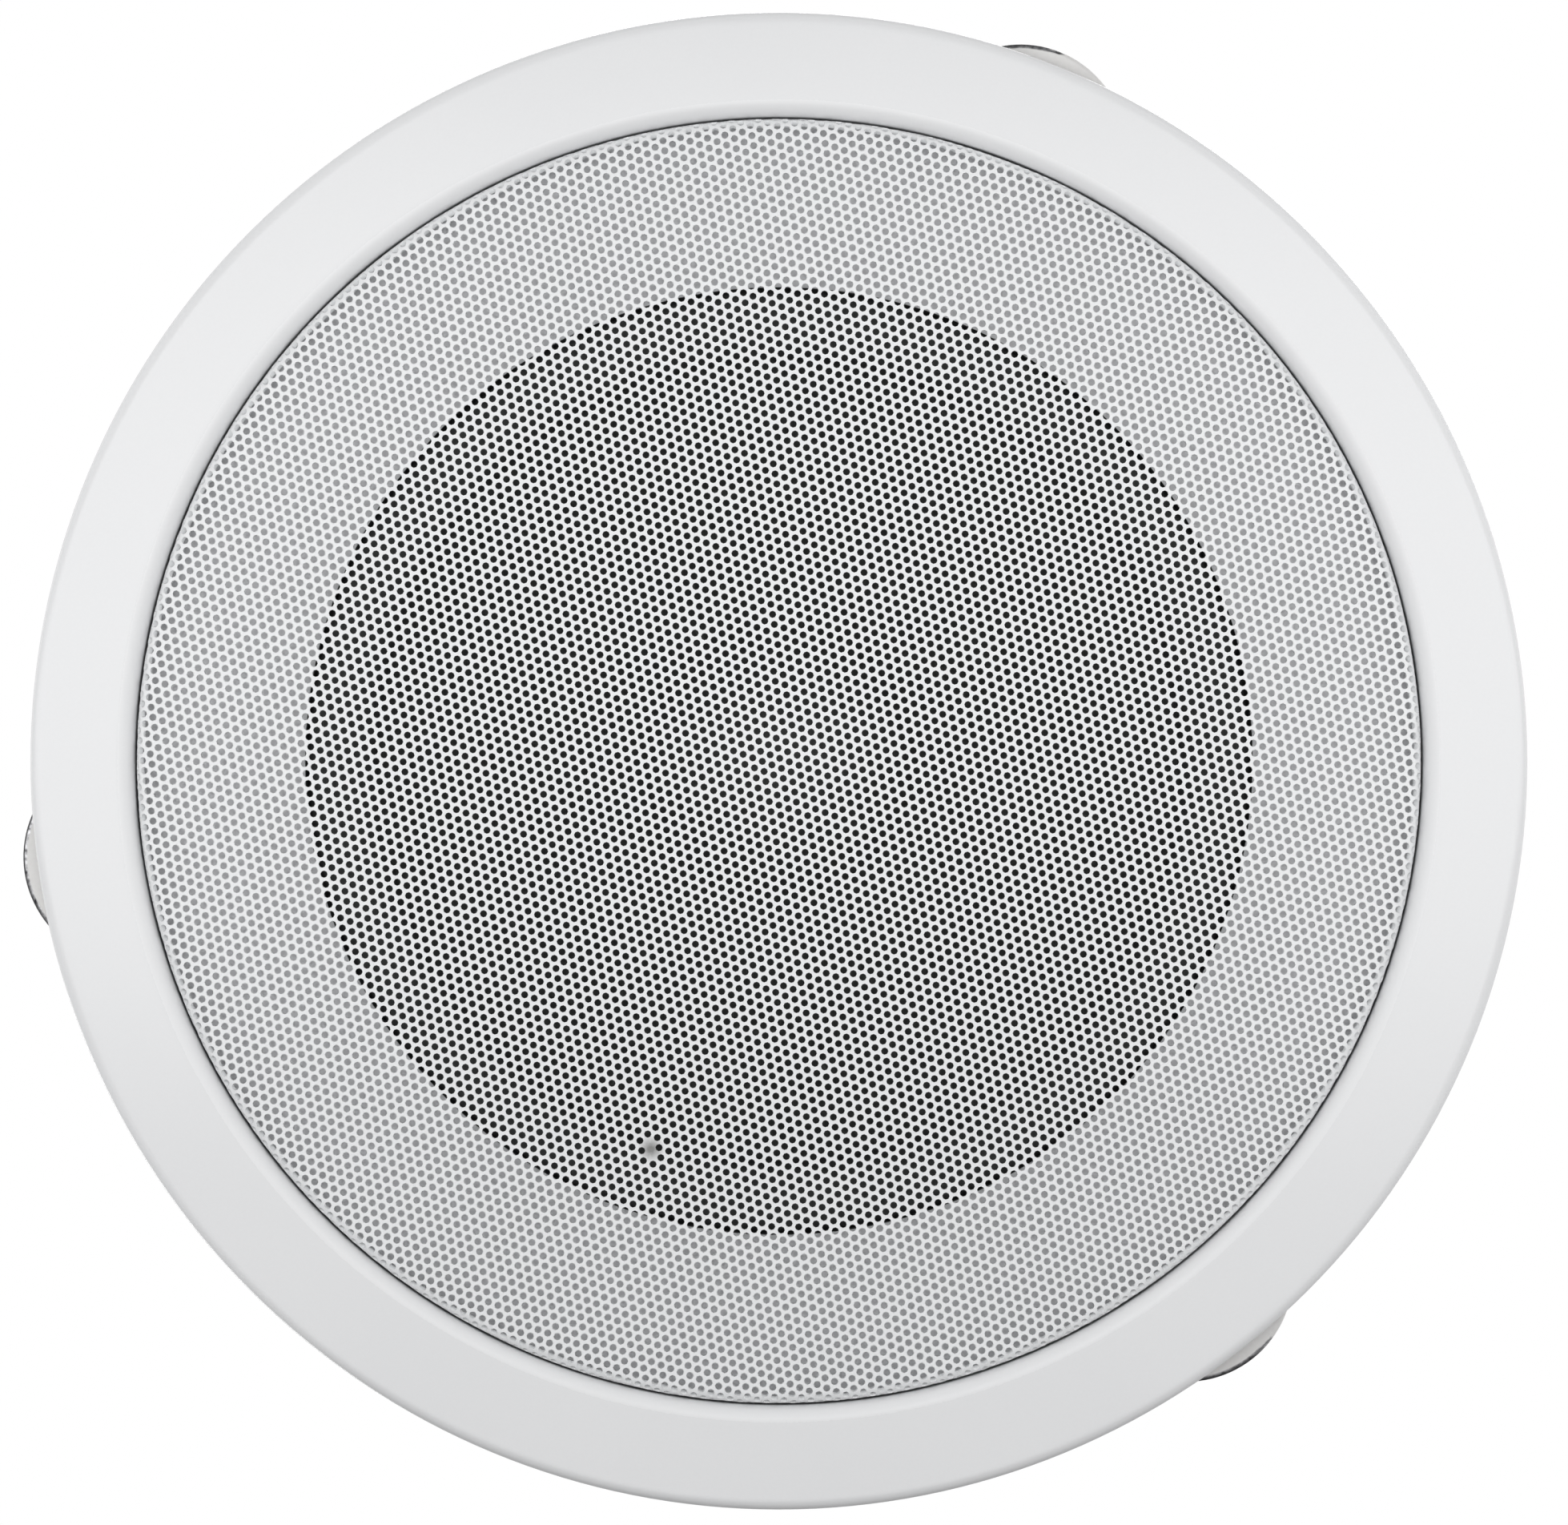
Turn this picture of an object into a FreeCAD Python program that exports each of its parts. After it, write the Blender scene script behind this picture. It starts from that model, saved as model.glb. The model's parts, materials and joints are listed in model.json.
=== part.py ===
import FreeCAD, Part
import math
import os

os.makedirs("parts", exist_ok=True)

# A round flush ceiling speaker. Millimetres, +Z up into the ceiling void, so the
# grille faces down. The origin is on the speaker's axis, in the ceiling's plane,
# which is the back edge of the flange. Radii grow outwards from the driver's
# opening, and heights are stacked up from the flange's face.

# Front frame: one drawn steel pan with a flange round it
OPENING_DIA = 140.0
FRAME_SHEET = 1.0
FLANGE_WIDTH = 15.3
FLANGE_HEIGHT = 5.5
FLANGE_OUTER_BEND = 2.2
FLANGE_INNER_BEND = 2.4
RECESS_DEPTH = 8.0
RECESS_BEND = 1.5
RECESS_MARGIN = 2.1

# Grille: a perforated steel dish pressed into the recess
GRILLE_SHEET = 0.8
GRILLE_GAP = 0.35
GRILLE_SINK = 0.2
GRILLE_BEND = 2.2
GRILLE_SEAT_PLAY = 0.05
HOLE_PITCH = 15.5
HOLE_ACROSS = 3.8
HOLE_FIELD_MARGIN = 6.0

# Gasket between the frame's floor and the driver
GASKET_INSET = 0.6
GASKET_WIDTH = 4.4
GASKET_THICKNESS = 2.0

# Driver: stamped basket, diaphragm on its two suspensions, and magnet
RIM_EDGE = 0.4
RIM_INSET = 0.8
BASKET_SHEET = 1.0
BASKET_DEPTH = 24.0
SHELF_WIDTH = 6.0
NECK_DEPTH = 7.0
BASE_WIDTH = 12.0
WINDOW_COUNT = 6
WINDOW_ANGLE = 40.0
WINDOW_MARGIN = 6.0
SURROUND_SHEET = 0.5
SURROUND_CLEARANCE = 0.6
ROLL_WIDTH = 9.6
ROLL_HEIGHT = 3.4
GLUE_GAP = 0.1
CONE_SHEET = 0.6
DUST_CAP_DIA = 40.0
DUST_CAP_HEIGHT = 7.0
DUST_CAP_SHEET = 0.5
COIL_DIA = 25.5
FORMER_SHEET = 0.3
COIL_THICKNESS = 0.5
COIL_OVERHANG = 2.0
SPIDER_SHEET = 0.5
SPIDER_CLEARANCE = 0.9
MAGNET_GAP = 0.6
PLATE_THICKNESS = 4.0
PLATE_WIDTH = 21.0
MAGNET_INSET = 4.0
MAGNET_OVERHANG = 1.5
MAGNET_THICKNESS = 14.0
YOKE_THICKNESS = 5.0
YOKE_INSET = 2.0

# Driver fixing: studs welded to the frame's floor, washers and nuts
STUD_COUNT = 4
STUD_FIRST_ANGLE = 45.0
STUD_CLEARANCE = 0.6
STUD_DIA = 4.0
STUD_PLAY = 0.3
STUD_TAIL = 2.0
WASHER_DIA = 9.0
WASHER_THICKNESS = 0.8
NUT_ACROSS_FLATS = 7.0
NUT_HEIGHT = 3.2

# Terminals on the basket's rim, and the flexible leads to the cone
BOARD_LENGTH = 20.0
BOARD_WIDTH = 8.0
BOARD_THICKNESS = 1.6
TAG_SPACING = 10.0
TAG_WIDTH = 4.8
TAG_THICKNESS = 0.8
TAG_HEIGHT = 8.0
TAG_FOOT = 4.0
LEAD_DIA = 1.2
LEAD_LIFT = 5.0
LEAD_RADIUS = 12.0
LEAD_CONE_REACH = 18.0
LEAD_END_GAP = 0.3

# Spring clips that clamp the ceiling panel against the flange
CLIP_COUNT = 3
CLIP_FIRST_ANGLE = 60.0
CLIP_CLEARANCE = 0.9
BRACKET_LENGTH = 9.2
BRACKET_SHEET = 1.2
EAR_RADIUS = 4.0
PIN_HEIGHT = 13.5
PIN_DIA = 3.0
PIN_PLAY = 0.08
PIN_HEAD_DIA = 5.0
PIN_HEAD = 1.0
ARM_SHEET = 1.2
ARM_HUB_WIDTH = 20.0
ARM_SIDE_PLAY = 0.3
ARM_WIDTH = 26.0
ARM_KNEE = 8.0
ARM_FLARE = 4.0
FOOT_LENGTH = 9.5
FOOT_OVERHANG = 2.5
FOOT_END_RADIUS = 15.7
FOOT_EDGE_ROUND = 0.5
FOOT_GAP = 0.2
SPRING_WIRE = 1.2
SPRING_TURNS = 4
SPRING_GAP = 0.15
SPRING_GROOVE = 0.4
SPRING_SIDE_PLAY = 1.0
SPRING_ARM_REACH = 7.8

# Radii worked out from the opening outwards
opening_r = OPENING_DIA / 2
rim_inner_r = opening_r + RIM_INSET
gasket_in = opening_r + GASKET_INSET
gasket_out = gasket_in + GASKET_WIDTH
stud_r = gasket_out + STUD_CLEARANCE + STUD_DIA / 2
rim_r = stud_r + WASHER_DIA / 2 + RIM_EDGE
bracket_in = rim_r + CLIP_CLEARANCE
bracket_out = bracket_in + BRACKET_LENGTH
recess_r = bracket_out + RECESS_MARGIN
flange_r = recess_r + FLANGE_WIDTH
grille_r = recess_r - GRILLE_GAP

# A bend's inner side is drawn as one flat facet, this share of its radius
FACET = 2 - math.sqrt(2)

# Heights stacked up from the flange's face
face_z = -FLANGE_HEIGHT
floor_z = face_z + RECESS_DEPTH
floor_back_z = floor_z + FRAME_SHEET
grille_seat_z = floor_z - max(0, RECESS_BEND * FACET - GRILLE_GAP) - GRILLE_SEAT_PLAY
gasket_top_z = floor_back_z + GASKET_THICKNESS
rim_z = gasket_top_z + SURROUND_SHEET
rim_back_z = rim_z + BASKET_SHEET
shelf_z = rim_z + BASKET_DEPTH
base_z = shelf_z + NECK_DEPTH
plate_z = base_z + BASKET_SHEET
magnet_z = plate_z + PLATE_THICKNESS
yoke_z = magnet_z + MAGNET_THICKNESS

# Diaphragm and motor, worked out from the coil outwards
former_r = COIL_DIA / 2
former_bore_r = former_r - FORMER_SHEET
coil_r = former_r + COIL_THICKNESS
pole_r = former_bore_r - MAGNET_GAP
gap_r = coil_r + MAGNET_GAP
plate_r = gap_r + PLATE_WIDTH
neck_r = plate_r - BASKET_SHEET
shelf_r = neck_r + SHELF_WIDTH
cone_neck_r = former_r + GLUE_GAP
roll_out_r = opening_r - SURROUND_CLEARANCE
roll_in_r = roll_out_r - ROLL_WIDTH
cone_r = roll_in_r - GLUE_GAP
cone_neck_z = shelf_z - SPIDER_SHEET - SPIDER_CLEARANCE - CONE_SHEET
cone_slope = (cone_neck_z - rim_z) / (cone_r - cone_neck_r)
cone_back = CONE_SHEET * math.hypot(1, cone_slope)

AXIS = FreeCAD.Vector(0, 0, 1)
ORIGIN = FreeCAD.Vector(0, 0, 0)


def at(x, y, z):
    return FreeCAD.Vector(x, y, z)


def turned(shape, angle):
    """A copy of a shape turned about the speaker's axis."""
    copy = shape.copy()
    copy.rotate(ORIGIN, AXIS, angle)
    return copy


def ring(outline):
    """A closed outline of (radius, height) points turned round the axis."""
    points = [at(r, 0, z) for r, z in outline]
    face = Part.Face(Part.makePolygon(points + points[:1]))
    return face.revolve(ORIGIN, AXIS, 360)


def thickened(path, thickness):
    """The closed outline of a sheet that follows a path and lies on its right."""
    normals = []
    for (a, b), (c, d) in zip(path, path[1:]):
        length = math.hypot(c - a, d - b)
        normals.append(((d - b) / length, (a - c) / length))
    offset = []
    for i, (a, b) in enumerate(path):
        p = normals[max(i - 1, 0)]
        q = normals[min(i, len(normals) - 1)]
        share = thickness / (1 + p[0] * q[0] + p[1] * q[1])
        offset.append((a + (p[0] + q[0]) * share, b + (p[1] + q[1]) * share))
    return path + offset[::-1]


def circles(shape, radius, z):
    """The shape's circular edges of one radius at one height."""
    found = []
    for edge in shape.Edges:
        box = edge.BoundBox
        level = abs(box.ZMin - z) < 1e-4 and abs(box.ZMax - z) < 1e-4
        if level and abs(box.XMax - radius) < 1e-4:
            found.append(edge)
    return found


def side_plate(outline, width, centre=0.0):
    """An outline of (radius, height) points given a width across the clip."""
    points = [at(r, centre - width / 2, z) for r, z in outline]
    face = Part.Face(Part.makePolygon(points + points[:1]))
    return face.extrude(at(0, width, 0))


def cross_rod(radius, start, end):
    """A rod along the clip's pin, from one place across the clip to another."""
    return Part.makeCylinder(radius, end - start, at(pin_x, start, pin_z), at(0, 1, 0))


def front_frame():
    """The drawn pan: skirt, flange face, recess wall and floor in one sheet."""
    skin = [
        (opening_r, floor_z),
        (recess_r, floor_z),
        (recess_r, face_z),
        (flange_r, face_z),
        (flange_r, 0),
    ]
    pan = ring(thickened(skin, -FRAME_SHEET))
    pan = pan.makeFillet(FLANGE_OUTER_BEND, circles(pan, flange_r, face_z))
    pan = pan.makeFillet(FLANGE_INNER_BEND, circles(pan, recess_r, face_z))
    back_z = face_z + FRAME_SHEET
    inside = [
        (FLANGE_OUTER_BEND - FRAME_SHEET, flange_r - FRAME_SHEET, back_z),
        (FLANGE_INNER_BEND - FRAME_SHEET, recess_r + FRAME_SHEET, back_z),
        (RECESS_BEND, recess_r, floor_z),
        (RECESS_BEND + FRAME_SHEET, recess_r + FRAME_SHEET, floor_back_z),
    ]
    for bend, radius, z in inside:
        pan = pan.makeChamfer(bend * FACET, circles(pan, radius, z))
    return pan


def grille():
    """The perforated dish: a flat face, a rolled rim and a skirt in the recess."""
    front_z = face_z + GRILLE_SINK
    back_z = front_z + GRILLE_SHEET
    skin = [(0, front_z), (grille_r, front_z), (grille_r, grille_seat_z)]
    inner_r = grille_r - GRILLE_SHEET
    dish = ring(skin + [(inner_r, grille_seat_z), (inner_r, back_z), (0, back_z)])
    dish = dish.makeFillet(GRILLE_BEND, circles(dish, grille_r, front_z))
    field_r = grille_r - HOLE_FIELD_MARGIN
    row_step = HOLE_PITCH * math.sqrt(3) / 2
    reach = int(field_r / row_step) + 1
    corner_r = HOLE_ACROSS / math.sqrt(3)
    corners = [math.radians(30 + 60 * k) for k in range(7)]
    holes = []
    for row in range(-reach, reach + 1):
        for column in range(-2 * reach, 2 * reach + 1):
            x = HOLE_PITCH * (column + row / 2)
            y = row_step * row
            if math.hypot(x, y) + corner_r > field_r:
                continue
            rim = [at(x + corner_r * math.cos(a), y + corner_r * math.sin(a), front_z) for a in corners]
            holes.append(Part.Face(Part.makePolygon(rim)).extrude(AXIS * GRILLE_SHEET))
    return dish.cut(Part.makeCompound(holes))


def gasket():
    """The foam ring that seals the driver to the frame's floor."""
    base = [(gasket_in, floor_back_z), (gasket_out, floor_back_z)]
    return ring(base + [(gasket_out, gasket_top_z), (gasket_in, gasket_top_z)])


def basket():
    """The stamped chassis: rim, sloping wall with windows, shelf, neck and base."""
    path = [
        (neck_r - BASE_WIDTH, base_z),
        (neck_r, base_z),
        (neck_r, shelf_z),
        (shelf_r, shelf_z),
        (rim_inner_r, rim_z),
        (rim_r, rim_z),
    ]
    chassis = ring(thickened(path, -BASKET_SHEET))
    low = rim_z + WINDOW_MARGIN
    tall = BASKET_DEPTH - 2 * WINDOW_MARGIN
    sector = Part.makeCylinder(rim_r, tall, at(0, 0, low), AXIS, WINDOW_ANGLE)
    for i in range(WINDOW_COUNT):
        middle = 360 * i / WINDOW_COUNT
        chassis = chassis.cut(turned(sector, middle - WINDOW_ANGLE / 2))
    hole = Part.makeCylinder(STUD_DIA / 2 + STUD_PLAY, BASKET_SHEET, at(stud_r, 0, rim_z))
    return chassis.cut(stud_pattern(hole))


def surround():
    """The soft round roll between the basket's rim and the cone's edge."""
    middle_r = roll_in_r + ROLL_WIDTH / 2
    crest_z = rim_z - ROLL_HEIGHT
    bow = (ROLL_WIDTH**2 / 4 + ROLL_HEIGHT**2) / (2 * ROLL_HEIGHT)
    front_bow = bow + SURROUND_SHEET
    rise = crest_z + bow - rim_z
    back_in = at(roll_in_r, 0, rim_z)
    back_out = at(roll_out_r, 0, rim_z)
    front_in = at(middle_r - ROLL_WIDTH / 2 * front_bow / bow, 0, crest_z + bow - rise * front_bow / bow)
    front_z = rim_z - SURROUND_SHEET
    front_out = at(middle_r + math.sqrt(front_bow**2 - (rise + SURROUND_SHEET) ** 2), 0, front_z)
    back = Part.Arc(back_in, at(middle_r, 0, crest_z), back_out).toShape()
    front = Part.Arc(front_out, at(middle_r, 0, crest_z - SURROUND_SHEET), front_in).toShape()
    flange = Part.makePolygon([back_out, at(gasket_out, 0, rim_z), at(gasket_out, 0, front_z), front_out])
    edge = Part.makePolygon([front_in, back_in])
    section = Part.Face(Part.Wire([back] + flange.Edges + [front] + edge.Edges))
    return section.revolve(ORIGIN, AXIS, 360)


def cone():
    """The pressed paper cone, from the surround back to the coil's former."""
    return ring(thickened([(cone_neck_r, cone_neck_z), (cone_r, rim_z)], -CONE_SHEET))


def dust_cap():
    """The domed cap glued on the front of the cone over the coil."""
    edge_r = DUST_CAP_DIA / 2
    edge_z = rim_z + (cone_r - edge_r) * cone_slope - GLUE_GAP
    dome_r = (edge_r**2 + DUST_CAP_HEIGHT**2) / (2 * DUST_CAP_HEIGHT)
    centre = at(0, 0, edge_z - DUST_CAP_HEIGHT + dome_r)
    shell = Part.makeSphere(dome_r, centre).cut(Part.makeSphere(dome_r - DUST_CAP_SHEET, centre))
    above = at(0, 0, edge_z - DUST_CAP_HEIGHT - DUST_CAP_SHEET)
    return shell.common(Part.makeCylinder(dome_r, DUST_CAP_HEIGHT + DUST_CAP_SHEET, above))


def coil_former():
    """The thin tube that carries the winding, glued into the cone's neck."""
    end_z = magnet_z + COIL_OVERHANG
    return ring(
        [(former_bore_r, cone_neck_z), (former_r, cone_neck_z), (former_r, end_z), (former_bore_r, end_z)]
    )


def voice_coil():
    """The copper winding, which stands in the magnet's gap."""
    low = plate_z - COIL_OVERHANG
    high = magnet_z + COIL_OVERHANG
    return ring([(former_r, low), (coil_r, low), (coil_r, high), (former_r, high)])


def spider():
    """The cloth disc that centres the former, glued to the basket's shelf."""
    inner = former_r + GLUE_GAP
    low = shelf_z - SPIDER_SHEET
    return ring([(inner, low), (shelf_r, low), (shelf_r, shelf_z), (inner, shelf_z)])


def top_plate():
    """The front steel ring of the magnet circuit."""
    return ring([(gap_r, plate_z), (plate_r, plate_z), (plate_r, magnet_z), (gap_r, magnet_z)])


def magnet():
    """The ferrite ring."""
    inner = gap_r + MAGNET_INSET
    outer = plate_r + MAGNET_OVERHANG
    return ring([(inner, magnet_z), (outer, magnet_z), (outer, yoke_z), (inner, yoke_z)])


def yoke():
    """The turned back plate with its pole in the middle of the coil."""
    outer = plate_r - YOKE_INSET
    end_z = yoke_z + YOKE_THICKNESS
    return ring([(0, plate_z), (pole_r, plate_z), (pole_r, yoke_z), (outer, yoke_z), (outer, end_z), (0, end_z)])


def stud_pattern(shape):
    """Copies of a shape at each of the driver's fixing points."""
    step = 360 / STUD_COUNT
    return Part.makeCompound([turned(shape, STUD_FIRST_ANGLE + step * i) for i in range(STUD_COUNT)])


def driver_studs():
    length = rim_back_z + WASHER_THICKNESS + NUT_HEIGHT + STUD_TAIL - floor_back_z
    return stud_pattern(Part.makeCylinder(STUD_DIA / 2, length, at(stud_r, 0, floor_back_z)))


def driver_washers():
    base = at(stud_r, 0, rim_back_z)
    disc = Part.makeCylinder(WASHER_DIA / 2, WASHER_THICKNESS, base)
    return stud_pattern(disc.cut(Part.makeCylinder(STUD_DIA / 2 + STUD_PLAY, WASHER_THICKNESS, base)))


def driver_nuts():
    base = at(stud_r, 0, rim_back_z + WASHER_THICKNESS)
    corner_r = NUT_ACROSS_FLATS / math.sqrt(3)
    turns = [math.radians(60 * k) for k in range(7)]
    corners = [base + at(corner_r * math.cos(a), corner_r * math.sin(a), 0) for a in turns]
    block = Part.Face(Part.makePolygon(corners)).extrude(AXIS * NUT_HEIGHT)
    return stud_pattern(block.cut(Part.makeCylinder(STUD_DIA / 2, NUT_HEIGHT, base)))


board_x = rim_inner_r + BASKET_SHEET + BOARD_WIDTH / 2
board_top_z = rim_back_z + BOARD_THICKNESS
tag_x = board_x - TAG_FOOT / 2 + TAG_THICKNESS
tag_top_z = board_top_z + TAG_HEIGHT


def terminal_board():
    """The insulating strip on the back of the basket's rim."""
    corner = at(board_x - BOARD_WIDTH / 2, -BOARD_LENGTH / 2, rim_back_z)
    return Part.makeBox(BOARD_WIDTH, BOARD_LENGTH, BOARD_THICKNESS, corner)


def terminal_tags():
    """Two bent blades, each with a foot on the board."""
    tags = []
    for side in (-1, 1):
        y = side * TAG_SPACING / 2 - TAG_WIDTH / 2
        foot = Part.makeBox(TAG_FOOT, TAG_WIDTH, TAG_THICKNESS, at(tag_x, y, board_top_z))
        blade = Part.makeBox(TAG_THICKNESS, TAG_WIDTH, TAG_HEIGHT, at(tag_x, y, board_top_z))
        tags.append(foot.fuse(blade).removeSplitter())
    return Part.makeCompound(tags)


def lead(side):
    """A flexible braided lead from a tag, through a window, to the cone's back."""
    y = side * TAG_SPACING / 2
    start = at(tag_x - LEAD_END_GAP, y, board_top_z + LEAD_LIFT)
    end_x = cone_r - LEAD_CONE_REACH
    cone_z = rim_z + LEAD_CONE_REACH * cone_slope + cone_back
    end = at(end_x, y, cone_z + LEAD_DIA / 2 + LEAD_END_GAP)
    corner = at((start.x + end.x) / 2, y, start.z + LEAD_LIFT)
    before = (start - corner).normalize()
    after = (end - corner).normalize()
    half = before.getAngle(after) / 2
    tangent = LEAD_RADIUS / math.tan(half)
    middle = (before + after).normalize() * (LEAD_RADIUS / math.sin(half) - LEAD_RADIUS)
    first = corner + before * tangent
    last = corner + after * tangent
    path = Part.Wire(
        [
            Part.LineSegment(start, first).toShape(),
            Part.Arc(first, corner + middle, last).toShape(),
            Part.LineSegment(last, end).toShape(),
        ]
    )
    section = Part.Wire(Part.makeCircle(LEAD_DIA / 2, start, before))
    return path.makePipeShell([section], True, False)


# The clip, drawn along +X with its pin along Y, then turned to its place
pin_x = (bracket_in + bracket_out) / 2
pin_z = floor_back_z + PIN_HEIGHT
pin_r = PIN_DIA / 2
hub_r = pin_r + PIN_PLAY + ARM_SHEET
ear_inside = ARM_HUB_WIDTH / 2 + ARM_SIDE_PLAY
ear_outside = ear_inside + BRACKET_SHEET
coil_half = SPRING_WIRE * SPRING_TURNS / 2
coil_mean_r = hub_r + SPRING_GAP + SPRING_WIRE / 2


def clip_bracket():
    """The folded bracket: a base on the frame's floor and two ears for the pin."""
    base_top = floor_back_z + BRACKET_SHEET
    length = bracket_out - bracket_in
    base = Part.makeBox(length, 2 * ear_outside, BRACKET_SHEET, at(bracket_in, -ear_outside, floor_back_z))
    foot = [(bracket_in, floor_back_z), (bracket_out, floor_back_z)]
    ear_outline = foot + [(pin_x + EAR_RADIUS, pin_z), (pin_x - EAR_RADIUS, pin_z)]
    parts = []
    for start in (-ear_outside, ear_inside):
        parts.append(side_plate(ear_outline, BRACKET_SHEET, start + BRACKET_SHEET / 2))
        parts.append(cross_rod(EAR_RADIUS, start, start + BRACKET_SHEET))
    bracket = base.multiFuse(parts).removeSplitter()
    return bracket.cut(cross_rod(pin_r + PIN_PLAY, -ear_outside, ear_outside))


def clip_pin():
    """The hinge pin, with a head at one end and a riveted end at the other."""
    shank = cross_rod(pin_r, -ear_outside - PIN_HEAD, ear_outside + PIN_HEAD)
    heads = [
        cross_rod(PIN_HEAD_DIA / 2, ear_outside, ear_outside + PIN_HEAD),
        cross_rod(PIN_HEAD_DIA / 2, -ear_outside - PIN_HEAD, -ear_outside),
    ]
    return shank.multiFuse(heads).removeSplitter()


def clip_arm():
    """The bent arm: curled hub, knee, slope, and a foot with a round end."""
    strip_z = pin_z + hub_r - ARM_SHEET
    tip_x = flange_r + FOOT_OVERHANG
    foot_x = tip_x - FOOT_LENGTH
    knee_x = pin_x + ARM_KNEE
    path = [(pin_x, strip_z), (knee_x, strip_z), (foot_x, FOOT_GAP), (tip_x, FOOT_GAP)]
    strip = side_plate(thickened(path, -ARM_SHEET), ARM_WIDTH)
    end_x = tip_x - FOOT_END_RADIUS
    half = ARM_WIDTH / 2
    round_x = end_x + math.sqrt(FOOT_END_RADIUS**2 - half**2)
    flare_x = knee_x + ARM_FLARE
    narrow = ARM_HUB_WIDTH / 2
    side = [(pin_x - hub_r, narrow), (knee_x, narrow), (flare_x, half), (round_x, half)]
    left = [at(x, y, 0) for x, y in side]
    right = [at(x, -y, 0) for x, y in reversed(side)]
    end = Part.Arc(left[-1], at(tip_x, 0, 0), right[0]).toShape()
    plan = Part.Face(Part.Wire(Part.makePolygon(left).Edges + [end] + Part.makePolygon(right + left[:1]).Edges))
    arm = strip.common(plan.extrude(AXIS * (pin_z + 2 * hub_r)))
    arm = arm.fuse(cross_rod(hub_r, -narrow, narrow)).removeSplitter()
    arm = arm.cut(cross_rod(pin_r + PIN_PLAY, -narrow, narrow))
    # A slot in the middle of the hub makes room for the spring's turns.
    slot_half = coil_half + SPRING_SIDE_PLAY
    slot_r = coil_mean_r + SPRING_WIRE
    arm = arm.cut(cross_rod(slot_r, -slot_half, slot_half))
    edges = []
    for edge in arm.Edges:
        box = edge.BoundBox
        low = box.ZMax < FOOT_GAP + 1e-4
        if low and abs(box.XMax - tip_x) < 1e-4 and edge.Length > ARM_WIDTH / 2:
            edges.append(edge)
    return arm.makeFillet(FOOT_EDGE_ROUND, edges)


def clip_spring():
    """The torsion spring: close turns round the pin, a leg on the arm, one on the base."""
    wire_r = SPRING_WIRE / 2
    outer = coil_mean_r + wire_r
    profile = [(coil_mean_r - wire_r, -coil_half)]
    for turn in range(SPRING_TURNS):
        start = -coil_half + SPRING_WIRE * turn
        profile += [(outer - SPRING_GROOVE, start), (outer, start + wire_r)]
    profile += [(outer - SPRING_GROOVE, coil_half), (coil_mean_r - wire_r, coil_half)]
    turns = ring(profile)
    turns.rotate(ORIGIN, at(1, 0, 0), -90)
    turns.translate(at(pin_x, 0, pin_z))
    arm_leg = Part.makeCylinder(
        wire_r, SPRING_ARM_REACH, at(pin_x, coil_half - wire_r, pin_z + coil_mean_r), at(1, 0, 0)
    )
    drop = pin_z - floor_back_z - BRACKET_SHEET - SPRING_GAP
    base_leg = Part.makeCylinder(
        wire_r, drop, at(pin_x - coil_mean_r, wire_r - coil_half, pin_z), at(0, 0, -1)
    )
    return turns.multiFuse([arm_leg, base_leg]).removeSplitter()


single_parts = {
    "front_frame": front_frame(),
    "grille": grille(),
    "gasket": gasket(),
    "basket": basket(),
    "surround": surround(),
    "cone": cone(),
    "dust_cap": dust_cap(),
    "coil_former": coil_former(),
    "voice_coil": voice_coil(),
    "spider": spider(),
    "top_plate": top_plate(),
    "magnet": magnet(),
    "yoke": yoke(),
    "driver_studs": driver_studs(),
    "driver_washers": driver_washers(),
    "driver_nuts": driver_nuts(),
    "terminal_board": terminal_board(),
    "terminal_tags": terminal_tags(),
    "lead_1": lead(-1),
    "lead_2": lead(1),
}
clip_parts = {
    "clip_bracket": clip_bracket(),
    "clip_pin": clip_pin(),
    "clip_arm": clip_arm(),
    "clip_spring": clip_spring(),
}

for name, shape in single_parts.items():
    shape.exportStep("parts/" + name + ".step")
for name, shape in clip_parts.items():
    for i in range(CLIP_COUNT):
        angle = CLIP_FIRST_ANGLE + 360 / CLIP_COUNT * i
        turned(shape, angle).exportStep("parts/%s_%d.step" % (name, i + 1))
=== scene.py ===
import json
import math
from functools import partial
from types import SimpleNamespace

import bmesh
import bpy
from mathutils import Matrix, Vector


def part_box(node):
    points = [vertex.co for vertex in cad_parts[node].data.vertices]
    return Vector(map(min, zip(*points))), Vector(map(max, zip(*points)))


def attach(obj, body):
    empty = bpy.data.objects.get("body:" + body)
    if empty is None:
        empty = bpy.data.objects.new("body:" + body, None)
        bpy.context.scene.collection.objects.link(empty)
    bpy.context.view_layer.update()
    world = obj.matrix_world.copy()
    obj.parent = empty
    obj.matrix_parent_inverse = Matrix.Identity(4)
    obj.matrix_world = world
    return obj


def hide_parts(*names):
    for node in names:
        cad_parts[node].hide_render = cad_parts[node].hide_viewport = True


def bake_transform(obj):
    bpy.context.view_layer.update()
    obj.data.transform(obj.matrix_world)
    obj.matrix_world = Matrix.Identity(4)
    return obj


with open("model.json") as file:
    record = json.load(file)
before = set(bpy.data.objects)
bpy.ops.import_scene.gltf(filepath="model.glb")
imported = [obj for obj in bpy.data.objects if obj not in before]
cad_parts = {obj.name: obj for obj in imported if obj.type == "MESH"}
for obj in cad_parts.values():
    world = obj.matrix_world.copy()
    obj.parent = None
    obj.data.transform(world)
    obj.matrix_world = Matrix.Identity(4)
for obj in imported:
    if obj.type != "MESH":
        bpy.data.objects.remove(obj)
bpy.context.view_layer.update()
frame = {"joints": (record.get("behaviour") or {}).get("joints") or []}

# Front frame: one pan drawn from 1 mm steel sheet. Its rolled flange hides the cut edge of the
# ceiling, its recess takes the grille and its floor carries the driver. Satin white powder coat.
MM = 0.001
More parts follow.
